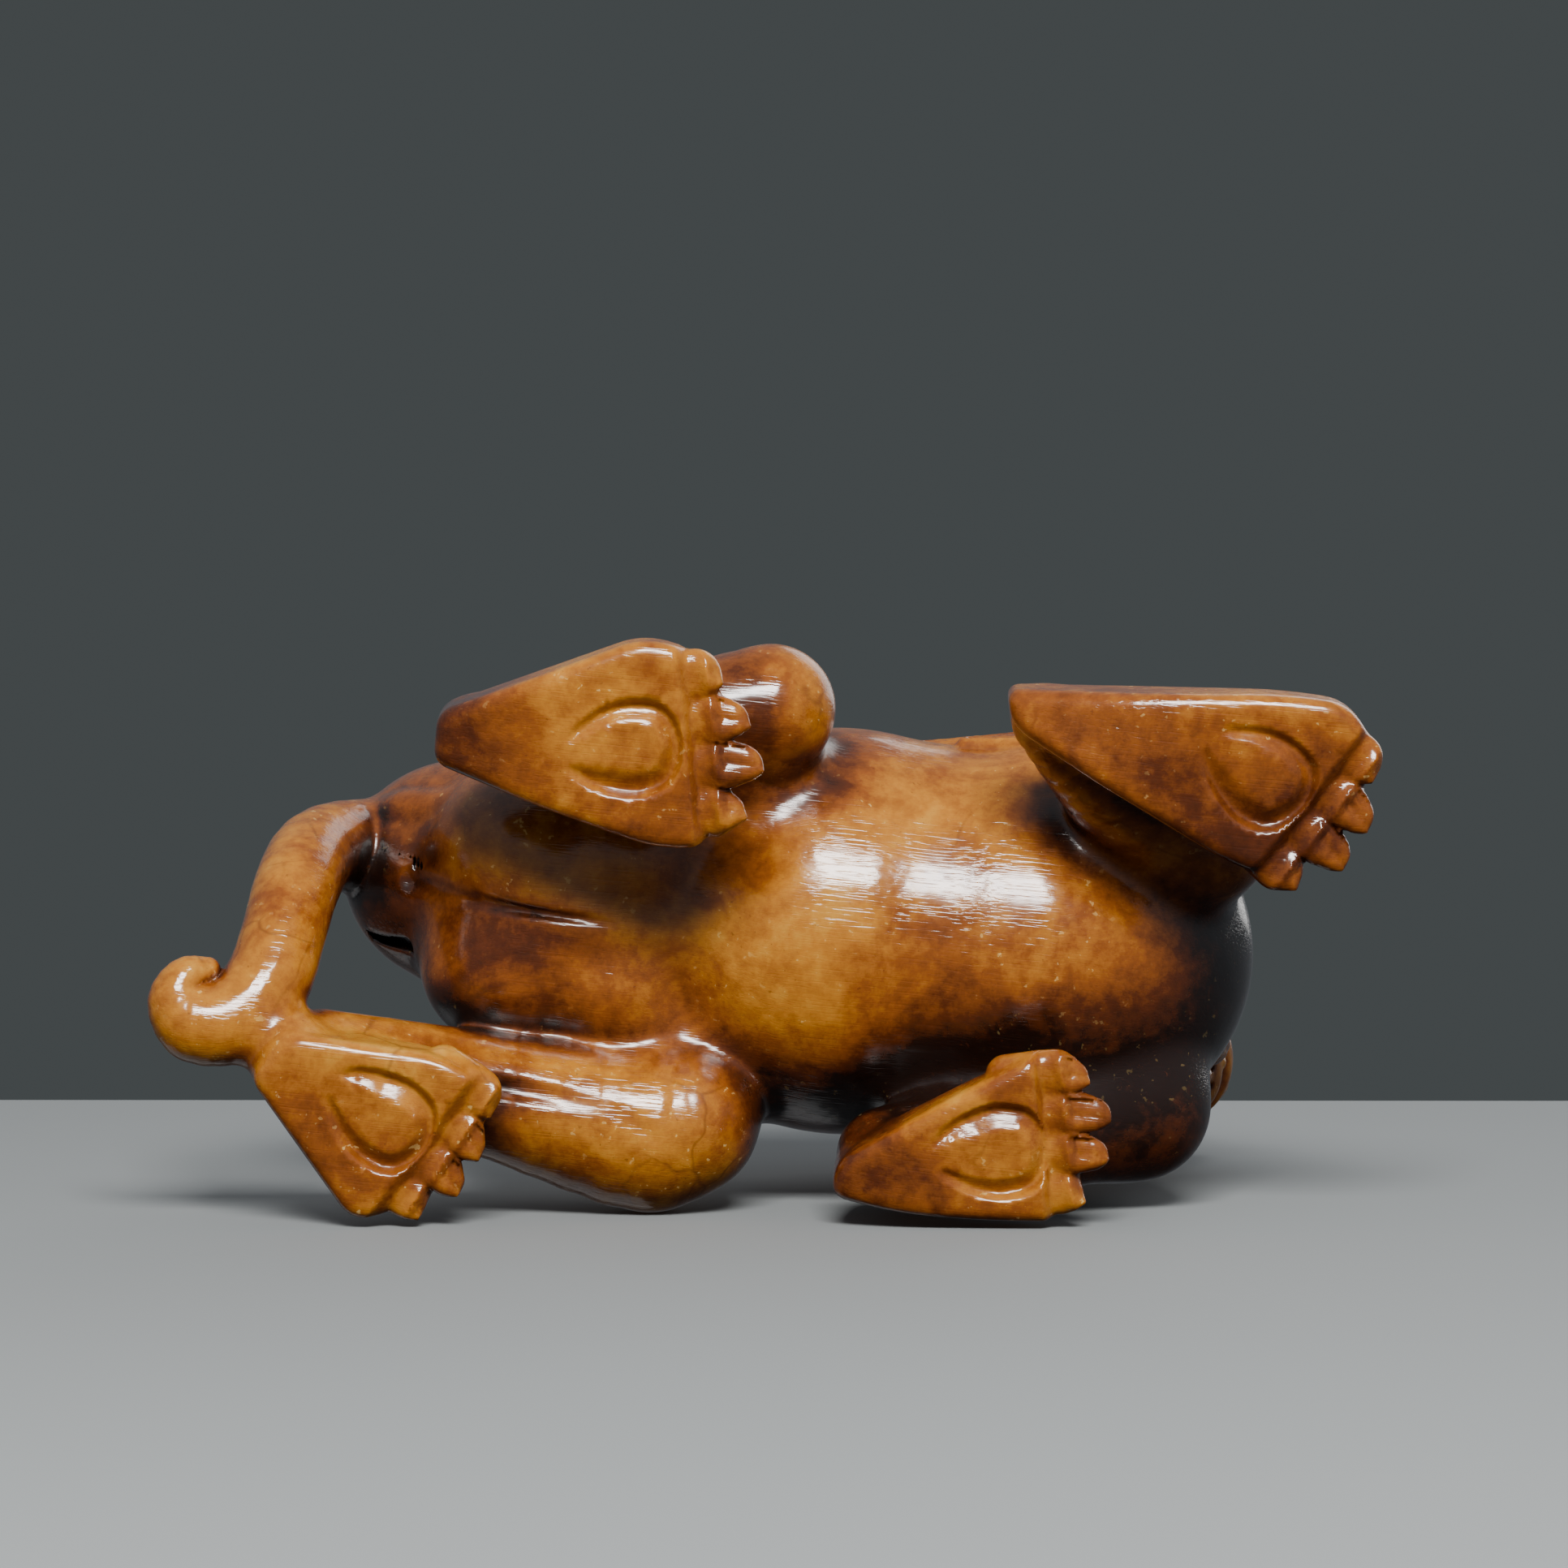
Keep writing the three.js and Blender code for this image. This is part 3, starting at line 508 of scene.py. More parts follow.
class Lattice:
    """The figure's distance at the nodes of a cubic lattice."""

    def __init__(self, figure: Figure, step: float) -> None:
        """Fills the lattice, each form within its own window.

        Args:
            figure: The figure that is drawn.
            step: Distance between two nodes.
        """
        joined = [box for form, _, act in figure.steps if act is Act.JOIN for box in form.boxes()]
        low = np.min([b[0] for b in joined], axis=0) - 4 * step
        high = np.max([b[1] for b in joined], axis=0) + 4 * step
        low[2] = -3.5 * step
        self.low, self.step = low, step
        self.size = np.ceil((high - low) / step).astype(int) + 1
        self.axes = [(low[i] + step * np.arange(self.size[i])).astype(np.float32) for i in range(3)]
        self.value = np.full(self.size, FAR, np.float32)
        for form, soft, act in figure.steps:
            self.lay(figure, form, soft, act)
        top = int((SOLE_ZONE - low[2]) / step)
        x, y, _ = np.meshgrid(self.axes[0], self.axes[1], self.axes[2][:1], indexing="ij")
        depth = -figure.ground(np.full(x.shape, -FAR), x, y, np.zeros(x.shape))
        held = self.value[:, :, :top]
        self.value[:, :, :top] = soft_max(held, -depth - self.axes[2][:top], figure.sole_edge)

    def window(self, low: Array, high: Array, pad: float) -> tuple[slice, slice, slice]:
        """The nodes within a box and its margin."""
        first = np.clip(np.floor((low - pad - self.low) / self.step).astype(int), 0, self.size)
        last = np.clip(np.ceil((high + pad - self.low) / self.step).astype(int) + 1, 0, self.size)
        return tuple(slice(int(a), int(b)) for a, b in zip(first, last))

    def grid(self, window: tuple[slice, slice, slice]) -> list[Array]:
        """The window's coordinates, shaped so that they spread over one another."""
        shapes = ((-1, 1, 1), (1, -1, 1), (1, 1, -1))
        return [axis[part].reshape(shape) for axis, part, shape in zip(self.axes, window, shapes)]

    def lay(self, figure: Figure, form: Form, soft: float, act: Act) -> None:
        """Joins or cuts one form in the lattice.

        Args:
            figure: The figure, which says how forms mix.
            form: The form.
            soft: How soft its edge is.
            act: Whether it is joined or cut.
        """
        pad = soft + max(2.5 * self.step, 1.5)
        boxes = form.boxes()
        least, most = np.min([b[0] for b in boxes], axis=0), np.max([b[1] for b in boxes], axis=0)
        whole = self.window(least, most, pad)
        own = np.full([part.stop - part.start for part in whole], FAR, np.float32)
        for number, (low, high) in enumerate(boxes):
            piece = self.window(low, high, pad)
            if any(part.stop <= part.start for part in piece):
                continue
            inner = tuple(slice(p.start - w.start, p.stop - w.start) for p, w in zip(piece, whole))
            own[inner] = np.minimum(own[inner], form.distance(*self.grid(piece), number))
        self.value[whole] = figure.mix(self.value[whole], own, soft, act)

    def sample(self, points: Array) -> Array:
        """Distance at free points, read between the nodes."""
        at = np.clip((points - self.low) / self.step, 0, self.size - 1.001)
        base = at.astype(int)
        part = at - base
        total = np.zeros(len(points))
        for corner in np.ndindex(2, 2, 2):
            weight = np.prod(np.where(np.array(corner) == 1, part, 1 - part), axis=1)
            i, j, k = (base + corner).T
            total += weight * np.minimum(self.value[i, j, k], 12.0)
        return total

    def net(self) -> tuple[Array, Array]:
        """Draws the surface with one point in each crossed cell.

        Returns:
            The points, and four point numbers for each face, wound to look outwards.
        """
        inside = self.value < 0
        count = np.zeros(self.size - 1, np.int8)
        for a, b, c in np.ndindex(2, 2, 2):
            count += inside[a : a + self.size[0] - 1, b : b + self.size[1] - 1, c : c + self.size[2] - 1]
        crossed = (count > 0) & (count < 8)
        number = np.full(crossed.shape, -1, np.int64)
        number[crossed] = np.arange(crossed.sum())
        cells = np.argwhere(crossed)
        total, met = np.zeros((len(cells), 3)), np.zeros(len(cells))
        for axis in range(3):
            unit = np.eye(3, dtype=int)
            u, v = (axis + 1) % 3, (axis + 2) % 3
            for a, b in np.ndindex(2, 2):
                start = cells + a * unit[u] + b * unit[v]
                end = start + unit[axis]
                first, second = self.value[tuple(start.T)], self.value[tuple(end.T)]
                hit = (first < 0) != (second < 0)
                t = first[hit] / (first[hit] - second[hit])
                total[hit] += start[hit] + t[:, None] * unit[axis]
                met[hit] += 1
        points = self.low + self.step * total / met[:, None]
        faces = []
        for axis in range(3):
            unit = np.eye(3, dtype=int)
            u, v = (axis + 1) % 3, (axis + 2) % 3
            first = np.take(inside, range(self.size[axis] - 1), axis=axis)
            second = np.take(inside, range(1, self.size[axis]), axis=axis)
            edges = np.argwhere(first != second)
            ring = [edges - unit[u] - unit[v], edges - unit[v], edges, edges - unit[u]]
            quads = np.stack([number[tuple(c.T)] for c in ring], 1)
            out = first[tuple(edges.T)]
            faces.append(np.where(out[:, None], quads, quads[:, ::-1]))
        return points, np.concatenate(faces)


def right_hind() -> Foot:
    """The right hind foot, flat beside the belly."""
    return Foot(
        outline=[
            (-28.8, -18.9), (-12.6, -26.9), (-8.6, -26.2), (-5.8, -10.4), (-9.5, -9.6), (-28.8, -14.6),
        ],
        toe_line=[(-6.2, -11.4), (-8.9, -26.0)],
        reaches=[3.4, 5.2, 4.4, 2.4],
        pad=(-12.6, -17.9),
        flat=13,
    )


def right_fore() -> Foot:
    """The right forefoot, which leads."""
    return Foot(
        outline=[
            (17.2, -25.1), (41.8, -27.5), (44.6, -27.1), (47.0, -24.2),
            (39.6, -12.4), (36.8, -12.6), (28.4, -16.6), (17.9, -21.9),
        ],
        toe_line=[(39.0, -12.2), (46.6, -24.4)],
        reaches=[2.9, 5.0, 4.6, 2.3],
        pad=(38.6, -20.3),
        flat=15,
    )


def left_hind() -> Foot:
    """The left hind foot, which the tail leans on."""
    return Foot(
        outline=[(-38.6, 8.3), (-25.2, 9.0), (-21.9, 11.0), (-28.9, 22.9), (-32.2, 23.4), (-41.4, 12.4)],
        toe_line=[(-22.2, 10.4), (-29.3, 22.3)],
        reaches=[2.2, 3.6, 4.0, 2.5],
        pad=(-29.8, 14.9),
        flat=30,
    )


def left_fore() -> Foot:
    """The left forefoot, tucked under the chest."""
    return Foot(
        outline=[(7.0, 14.9), (11.8, 11.0), (22.9, 3.9), (25.7, 17.9), (15.2, 18.8), (7.0, 18.0)],
        toe_line=[(23.0, 4.4), (25.4, 17.4)],
        reaches=[3.6, 5.2, 4.7, 2.4],
        pad=(20.4, 12.4),
        flat=13,
    )


@dataclass
class Patch:
    """A stretch painted paler or darker than the rest. Most follow the stone's own tone; a few paint shade
    where the stone turns from the light, and one paints light into a cast shadow.
    """

    centre: Point
    reach: float
    tone: float


@dataclass(frozen=True)
class JadeFinish:
    """Polished nephrite of honey to russet, with painted shade darkening it towards near black in its
    hollows.
    """

    name: str = "honey_russet_jade"
    near_black: tuple = (0.010, 0.0032, 0.0016, 1)
    red_brown: tuple = (0.080, 0.0175, 0.0032, 1)
    russet: tuple = (0.225, 0.062, 0.0072, 1)
    honey: tuple = (0.42, 0.160, 0.0145, 1)
    ochre: tuple = (0.57, 0.29, 0.040, 1)
    pale: tuple = (0.68, 0.46, 0.15, 1)
    roughness: float = 0.13
    ior: float = 1.61
    depth_of_light: float = 0.0016

    def make(self) -> bpy.types.Material:
        """Builds the stone: clouds, flecks, veins, painted shade in the hollows, a painted glow where it is
        thin, and a scratched polish.

        Returns:
            The material.
        """
        material = bpy.data.materials.new(self.name)
        material.use_nodes = True
        tree = material.node_tree
        shader = tree.nodes["Principled BSDF"]
        place = tree.nodes.new("ShaderNodeTexCoord").outputs["Object"]
        tone = self.tone(tree, place)
        colour = self.ramp(tree, tone)
        colour = self.flecks(tree, place, colour, tone)
        colour = self.veins(tree, place, colour, tone)
        tree.links.new(colour, shader.inputs["Base Color"])
        tree.links.new(self.polish(tree, place), shader.inputs["Roughness"])
        tree.links.new(self.relief(tree, place), shader.inputs["Normal"])
        shader.inputs["IOR"].default_value = self.ior
        shader.inputs["Subsurface Weight"].default_value = 0.22
        shader.inputs["Subsurface Radius"].default_value = (1.0, 0.42, 0.12)
        shader.inputs["Subsurface Scale"].default_value = self.depth_of_light
        return material

    @staticmethod
    def math(tree: Tree, kind: str, *values: object) -> Socket:
        """A maths node on sockets or numbers.

        Args:
            tree: The material's nodes.
            kind: The operation.
            values: Sockets or numbers, in order.

        Returns:
            The output socket.
        """
        node = tree.nodes.new("ShaderNodeMath")
        node.operation = kind
        for socket, value in zip(node.inputs, values):
            if isinstance(value, (int, float)):
                socket.default_value = value
            else:
                tree.links.new(value, socket)
        return node.outputs[0]

    @staticmethod
    def noise(
        tree: Tree, place: Socket, scale: float, detail: float = 4.0,
        rough: float = 0.55, warp: float = 0.0,
    ) -> Socket:
        """A noise over the stone.

        Args:
            tree: The material's nodes.
            place: Coordinates in metres.
            scale: Turns in a metre.
            detail: Octaves.
            rough: Strength of the finer octaves.
            warp: Distortion.

        Returns:
            The noise's value, from 0 to 1.
        """
        node = tree.nodes.new("ShaderNodeTexNoise")
        node.inputs["Scale"].default_value = scale
        node.inputs["Detail"].default_value = detail
        node.inputs["Roughness"].default_value = rough
        node.inputs["Distortion"].default_value = warp
        tree.links.new(place, node.inputs["Vector"])
        return node.outputs[0]

    @staticmethod
    def measure(tree: Tree, name: str) -> Socket:
        """A number that the mesh holds at each point."""
        node = tree.nodes.new("ShaderNodeAttribute")
        node.attribute_name = name
        return node.outputs["Fac"]

    def span(
        self, tree: Tree, value: Socket, low: float, high: float,
        to_low: float = 0.0, to_high: float = 1.0,
    ) -> Socket:
        """Spreads a range of values over another range, smoothly.

        Args:
            tree: The material's nodes.
            value: What is spread.
            low, high: The range it is read in.
            to_low, to_high: The range it is given.

        Returns:
            The output socket.
        """
        node = tree.nodes.new("ShaderNodeMapRange")
        node.interpolation_type = "SMOOTHSTEP"
        tree.links.new(value, node.inputs["Value"])
        ends = {"From Min": low, "From Max": high, "To Min": to_low, "To Max": to_high}
        for name, number in ends.items():
            node.inputs[name].default_value = number
        return node.outputs["Result"]

    def tone(self, tree: Tree, place: Socket) -> Socket:
        """How pale the stone is: its clouds, its patches, painted shade in its hollows and a painted glow
        where it is thin.
        """
        broad = self.span(tree, self.noise(tree, place, 42, 3.0, 0.5, 0.6), 0.33, 0.67, -0.08, 0.08)
        cloud = self.span(tree, self.noise(tree, place, 150, 5.0, 0.62, 0.9), 0.3, 0.7, -0.075, 0.075)
        fine = self.span(tree, self.noise(tree, place, 620, 4.0, 0.7), 0.3, 0.7, -0.06, 0.06)
        total = self.math(tree, "ADD", broad, cloud)
        total = self.math(tree, "MULTIPLY", total, self.measure(tree, "mottle"))
        total = self.math(tree, "ADD", total, fine)
        total = self.math(tree, "ADD", total, self.measure(tree, "tone"))
        # Painted shade: the stone is darkened where the surface is enclosed, as shade would fall there.
        painted_shade = self.math(tree, "MULTIPLY", self.measure(tree, "hollow"), 0.45)
        total = self.math(tree, "SUBTRACT", total, painted_shade)
        # Painted glow: the stone is made paler where it is thin, as light shining through it would.
        thin = self.math(tree, "MULTIPLY", self.measure(tree, "thin"), 0.14)
        return self.math(tree, "ADD", total, thin)

    def ramp(self, tree: Tree, tone: Socket) -> Socket:
        """The stone's colours, from near black where painted shade is deepest to its palest skin."""
        node = tree.nodes.new("ShaderNodeValToRGB")
        ramp = node.color_ramp
        stops = ((0.06, self.near_black), (0.26, self.red_brown), (0.44, self.russet), (0.62, self.honey),
                 (0.82, self.ochre))
        ramp.elements[0].position, ramp.elements[0].color = stops[0]
        ramp.elements[1].position, ramp.elements[1].color = stops[-1]
        for spot, colour in stops[1:-1]:
            ramp.elements.new(spot).color = colour
        tree.links.new(tone, node.inputs["Fac"])
        return node.outputs["Color"]

    def blend(
        self, tree: Tree, share: Socket, under: Socket, over: tuple
    ) -> Socket:
        """Lays a colour over another by a mask.

        Args:
            tree: The material's nodes.
            share: The mask.
            under: The colour beneath.
            over: The colour laid on.

        Returns:
            The mixed colour.
        """
        node = tree.nodes.new("ShaderNodeMix")
        node.data_type = "RGBA"
        tree.links.new(share, node.inputs["Factor"])
        tree.links.new(under, node.inputs["A"])
        node.inputs["B"].default_value = over
        return node.outputs["Result"]

    def flecks(
        self, tree: Tree, place: Socket, colour: Socket,
        tone: Socket,
    ) -> Socket:
        """Lays small ragged pale grains and darker specks in the stone."""
        ragged = self.noise(tree, place, 1250, 2.5, 0.6)
        spot = self.span(tree, ragged, 0.655, 0.70)
        where = self.span(tree, self.noise(tree, place, 85, 3.0), 0.42, 0.6)
        where = self.math(tree, "MULTIPLY", where, self.span(tree, tone, 0.30, 0.55, 0.12, 0.6))
        share = self.math(tree, "MULTIPLY", spot, where)
        colour = self.blend(tree, share, colour, self.pale)
        specks = self.span(tree, self.noise(tree, place, 1900, 3.0, 0.7), 0.64, 0.74, 0.0, 0.5)
        return self.blend(tree, specks, colour, self.red_brown)

    def veins(
        self, tree: Tree, place: Socket, colour: Socket,
        tone: Socket,
    ) -> Socket:
        """Draws fine dark cracks where the stone is weathered."""
        warp = tree.nodes.new("ShaderNodeTexNoise")
        warp.inputs["Scale"].default_value = 210
        tree.links.new(place, warp.inputs["Vector"])
        bent = tree.nodes.new("ShaderNodeVectorMath")
        bent.operation = "MULTIPLY_ADD"
        tree.links.new(warp.outputs["Color"], bent.inputs[0])
        bent.inputs[1].default_value = (0.004, 0.004, 0.004)
        tree.links.new(place, bent.inputs[2])
        crack = tree.nodes.new("ShaderNodeTexVoronoi")
        crack.feature = "DISTANCE_TO_EDGE"
        crack.inputs["Scale"].default_value = 150
        tree.links.new(bent.outputs[0], crack.inputs["Vector"])
        line = self.span(tree, crack.outputs["Distance"], 0.0, 0.035, 1.0, 0.0)
        where = self.span(tree, self.noise(tree, place, 60, 3.0), 0.52, 0.64)
        where = self.math(tree, "MULTIPLY", where, self.span(tree, tone, 0.34, 0.52))
        share = self.math(tree, "MULTIPLY", self.math(tree, "MULTIPLY", line, where), 0.42)
        return self.blend(tree, share, colour, self.red_brown)

    def polish(self, tree: Tree, place: Socket) -> Socket:
        """Roughness: a high polish that dulls in the hollows."""
        cloud = self.span(tree, self.noise(tree, place, 240, 3.0), 0.3, 0.7, self.roughness - 0.03,
                          self.roughness + 0.05)
        hollow = self.math(tree, "MULTIPLY", self.measure(tree, "hollow"), 0.16)
        return self.math(tree, "ADD", cloud, hollow)

    def relief(self, tree: Tree, place: Socket) -> Socket:
        """Hairline polishing scratches that cross, and a faint orange peel."""
        total = None
        for turn, share in (((0.3, 0.2, 0.15), 1.0), ((-0.2, 0.9, -0.35), 0.8), ((0.1, -0.3, 1.2), 0.6)):
            turned = tree.nodes.new("ShaderNodeMapping")
            turned.inputs["Rotation"].default_value = turn
            turned.inputs["Scale"].default_value = (0.035, 1.0, 1.0)
            tree.links.new(place, turned.inputs["Vector"])
            line = self.span(tree, self.noise(tree, turned.outputs[0], 5200, 1.0), 0.56, 0.7, 0.0, share)
            total = line if total is None else self.math(tree, "ADD", total, line)
        scratch = tree.nodes.new("ShaderNodeBump")
        scratch.invert = True
        scratch.inputs["Strength"].default_value = 0.35
        scratch.inputs["Distance"].default_value = 0.00002
        tree.links.new(total, scratch.inputs["Height"])
        peel = tree.nodes.new("ShaderNodeBump")
        peel.inputs["Strength"].default_value = 0.5
        peel.inputs["Distance"].default_value = 0.00012
        tree.links.new(self.noise(tree, place, 330, 2.0), peel.inputs["Height"])
        tree.links.new(peel.outputs["Normal"], scratch.inputs["Normal"])
        return scratch.outputs["Normal"]


@dataclass
class Carving:
    """The beast, drawn finely over its solid."""

    step: float = 0.33
    most_faces: int = 190_000
    room: float = 1.2  # how far from a form's box the mesh's points are tried against it
    plain_tone: float = 0.55
    # From the figure's frame to the part's, whose origin is the middle of its footprint.
    shift: Point = (1.1247, 1.9314, 0.0)
    head_frame: Head = field(default_factory=Head)
    finish: JadeFinish = field(default_factory=JadeFinish)
    patches: Sequence[Patch] = (
        Patch((-24, 0, 22), 9, -0.08), Patch((-31, -6, 27), 7, -0.24), Patch((-32, 2, 24), 6, -0.20),
        # Painted shade: these three darken the chest's side and underside, which turn away from the lamps.
        Patch((38, 0, 18), 10, -0.36), Patch((34, 12, 17), 10, -0.46), Patch((41, -4, 27), 11, -0.36),
        Patch((28, 6, 10), 10, -0.18), Patch((4, 2, 9), 10, 0.08), Patch((4, -11, 13), 7, 0.08),
        Patch((-3, -20, 16), 9, -0.18), Patch((10, 14, 17), 9, -0.40), Patch((14, 8, 11), 8, -0.18),
        Patch((-8, 16, 9), 6, 0.08), Patch((-1, 15, 13), 6, -0.20), Patch((-10, 20, 16), 6, -0.16),
        # The first patch here is painted light: it brightens the right haunch where the right hind foot
        # casts its shadow.
        Patch((-20, -8, 12), 7, 0.20), Patch((-21, 2.5, 11), 6, -0.24), Patch((25, -14, 12), 8, -0.06),
        Patch((-48, 7, 6), 3.5, -0.16), Patch((-39, -1, 14), 8, -0.06),
        Patch((-38, -3, 27), 6, -0.12), Patch((-14, -18, 1), 8, 0.14), Patch((-27, -17, 5), 8, -0.28),
        Patch((37, -20, 1), 9, -0.05), Patch((43, -14, 2), 6, -0.08), Patch((-30, 14, 1), 7, 0.11),
        Patch((-34.5, 19.5, 1), 6, -0.26), Patch((18, 12, 1), 7, 0.17), Patch((9, 15.5, 3), 6, -0.30),
        Patch((18, 18.5, 1), 5, -0.18), Patch((19, -24, 3), 8, -0.16), Patch((35, -13.5, 2), 6, -0.34),
        Patch((-3.5, -18, 2), 6, -0.24), Patch((46, -18, 2), 6.5, -0.22), Patch((-22.5, 18, 2), 6, -0.24),
        Patch((29, 11, 2), 5, -0.14), Patch((-21, 11, 4), 3, -0.12), Patch((-12, -11.5, 1), 4.5, -0.22),
        Patch((8, -4, 40), 22, -0.02), Patch((27, 6, 50), 12, 0.06),
    )

    def carve(self) -> Figure:
        """Lays out all the forms, in order.

        Returns:
            The figure.
        """
        beast = Figure()
        self.trunk(beast)
        feet = {"right_hind": right_hind(), "right_fore": right_fore(), "left_hind": left_hind(),
                "left_fore": left_fore()}
        for name, foot in feet.items():
            side = Side.LEFT if name.startswith("left") else Side.RIGHT
            if name.endswith("hind"):
                self.hind_leg(beast, side)
            else:
                self.fore_leg(beast, side)
            self.foot(beast, foot)
            beast.soles.append(SoleRelief(foot))
        self.tail(beast)
        self.head(beast)
        self.mane(beast)
        for side in Side:
            self.wing(beast, side)
        self.back_ridge(beast)
        self.underside(beast)
        return beast

    def trunk(self, beast: Figure) -> None:
        """Chest, belly, loins, rump and haunches."""
        beast.add(Blob((21, 0, 25.6), (20.3, 17.4, 17.4)), 0.5)
        beast.add(Blob((6, 0, 25.4), (19.5, 17.4, 16.9)), 2.5)
        beast.add(Blob((-15, -1, 26), (16, 15, 14.2)), 3.5)
        beast.add(Blob((-26.4, -1.2, 29.2), (10.8, 9.8, 10.6)), 2.5)
        beast.add(Blob((-17, 0, 20.4), (11, 9.5, 9.2)), 3)
        beast.add(Blob((-21.0, 5.2, 18.2), (8.0, 6.4, 7.2)), 3)
        beast.add(Blob((-20.6, -6.0, 19.2), (8.0, 5.9, 7.2)), 3)
        beast.add(Blob((-13.5, 4.8, 17.6), (7.4, 6.4, 7.0)), 1.2)
        beast.add(Blob((-13.0, -6.4, 18.0), (7.4, 6.2, 7.0)), 1.2)
        fold = [(-34.4, -5.2, 27.5, 1.2), (-32.0, -6.9, 24.6, 1.7), (-28.2, -7.6, 21.8, 1.6)]
        beast.add(Limb(fold), 0.8)

    def hind_leg(self, beast: Figure, side: Side) -> None:
        """Thigh, knee and shank; the left one is folded on the ground."""
        s = side.value
        if side is Side.RIGHT:
            beast.add(Limb([(-15, s * 8.5, 29, 10), (-10, s * 12, 23, 9), (-1.8, -20.0, 15.6, 5.0)]), 4)
            beast.add(Limb([(-1.8, -20.0, 15.6, 4.8), (-14, -18.4, 12, 4.2), (-25.6, -16.8, 8.2, 3.0)]), 2)
            return
        beast.add(Limb([(-15, s * 8.5, 29, 10), (-10, s * 12, 22, 9), (-6, 15.2, 14.4, 6)]), 4)
        shank = [
            (-5.7, 15.3, 13.2, 6.1), (-9, 16.1, 13.6, 7.3), (-19.5, 14.6, 12, 5.6), (-36.2, 10.9, 7.6, 3.4),
        ]
        beast.add(Limb(shank), 1.5)
        crease = [
            (-21.5, 12.4, 6.9, 0.6), (-16, 12.7, 6.4, 0.8), (-11, 13.4, 6.1, 0.6), (-8, 15.4, 5.9, 0.3),
        ]
        beast.cut(Limb(crease), 0.9)

    def fore_leg(self, beast: Figure, side: Side) -> None:
        """Shoulder, upper arm and forearm to the elbow on the ground."""
        s = side.value
        right = side is Side.RIGHT
        elbow = (20.9, -22.0, 8.4, 2.8) if right else (11.2, 15.6, 9.4, 4.0)
        front = (34.5, -13.2, 18, 6.4) if right else (32.0, 11.0, 17.2, 5.8)
        beast.add(Limb([(24, s * 9.5, 30, 9), (28, s * 11.5, 24, 8), front]), 3)
        bend = ((front[0] + elbow[0]) / 2, (front[1] + elbow[1]) / 2, 12.2, 5.4)
        beast.add(Limb([front, bend, elbow]), 2.5)

    def foot(self, beast: Figure, foot: Foot) -> None:
        """A wedge of a paw with four toes, each with a hooked claw, and notches between them."""
        beast.add(Wedge(foot), 1.2)
        pitch = foot.width / len(foot.reaches)
        thick = pitch * 0.53
        down = 1 if foot.across[1] > 0 else -1
        bridge = [(*foot.at(v, 0.5, 2.5), 1.85) for v in (2.3, foot.width / 2, foot.width - 2.3)]
        beast.add(Limb(bridge, 4), 0.5)
        for i, reach in enumerate(foot.reaches):
            offset = pitch * (i + 0.5)
            tip = reach - thick * 0.8
            knuckle = [
                (*foot.at(offset, -3, 3.0), thick),
                (*foot.at(offset - 0.08 * thick, tip * 0.45, 1.75), thick * 1.12),
                (*foot.at(offset + 0.1 * down * thick, tip, 1.4), thick * 0.8),
            ]
            beast.add(Limb(knuckle, 6), 0.3)
            claw = [
                (*foot.at(offset, tip * 0.75, 1.3), thick * 0.7),
                (*foot.at(offset + 0.15 * down * thick, tip + thick * 0.3, 1.2), thick * 0.55),
                (*foot.at(offset + 0.4 * down * thick, tip + thick * 0.75, 1.1), thick * 0.22),
            ]
            beast.add(Limb(claw, 6), 0.5)
        for i in range(1, len(foot.reaches)):
            ahead = (foot.reaches[i - 1] + foot.reaches[i]) / 2
            notch = [
                (*foot.at(pitch * i - 0.3 * down, 1.4, 0.0), 0.08),
                (*foot.at(pitch * i, ahead * 0.6, 0.3), 0.18),
                (*foot.at(pitch * i + 0.2 * down, ahead + 1.2, 1.0), 0.46),
            ]
            beast.cut(Limb(notch, 6), 0.4)

    def tail(self, beast: Figure) -> None:
        """The tail, down behind the rump and curled on the left heel."""
        stations = [
            (-29.5, -1.8, 33, 5.2), (-34.8, -2.8, 28.4, 4.2), (-38.8, -3.2, 21.8, 3.7),
            (-39.9, -1.3, 14.6, 3.6), (-40.3, 1.9, 10, 3.5), (-41.1, 5.6, 6.9, 3.6),
            (-43.4, 8.5, 5.3, 3.7), (-46.4, 8.9, 4.4, 3.4), (-48.1, 7.2, 4.4, 2.4),
            (-47.5, 5.3, 4.8, 1.7), (-45.9, 4.7, 5.4, 1.1),
        ]
        beast.add(Limb(stations, 33), 0.8)
        beast.add(Limb([(-41.5, 8.5, 6, 3.0), (-38.6, 10.6, 4.5, 3.4)], 3), 1.5)

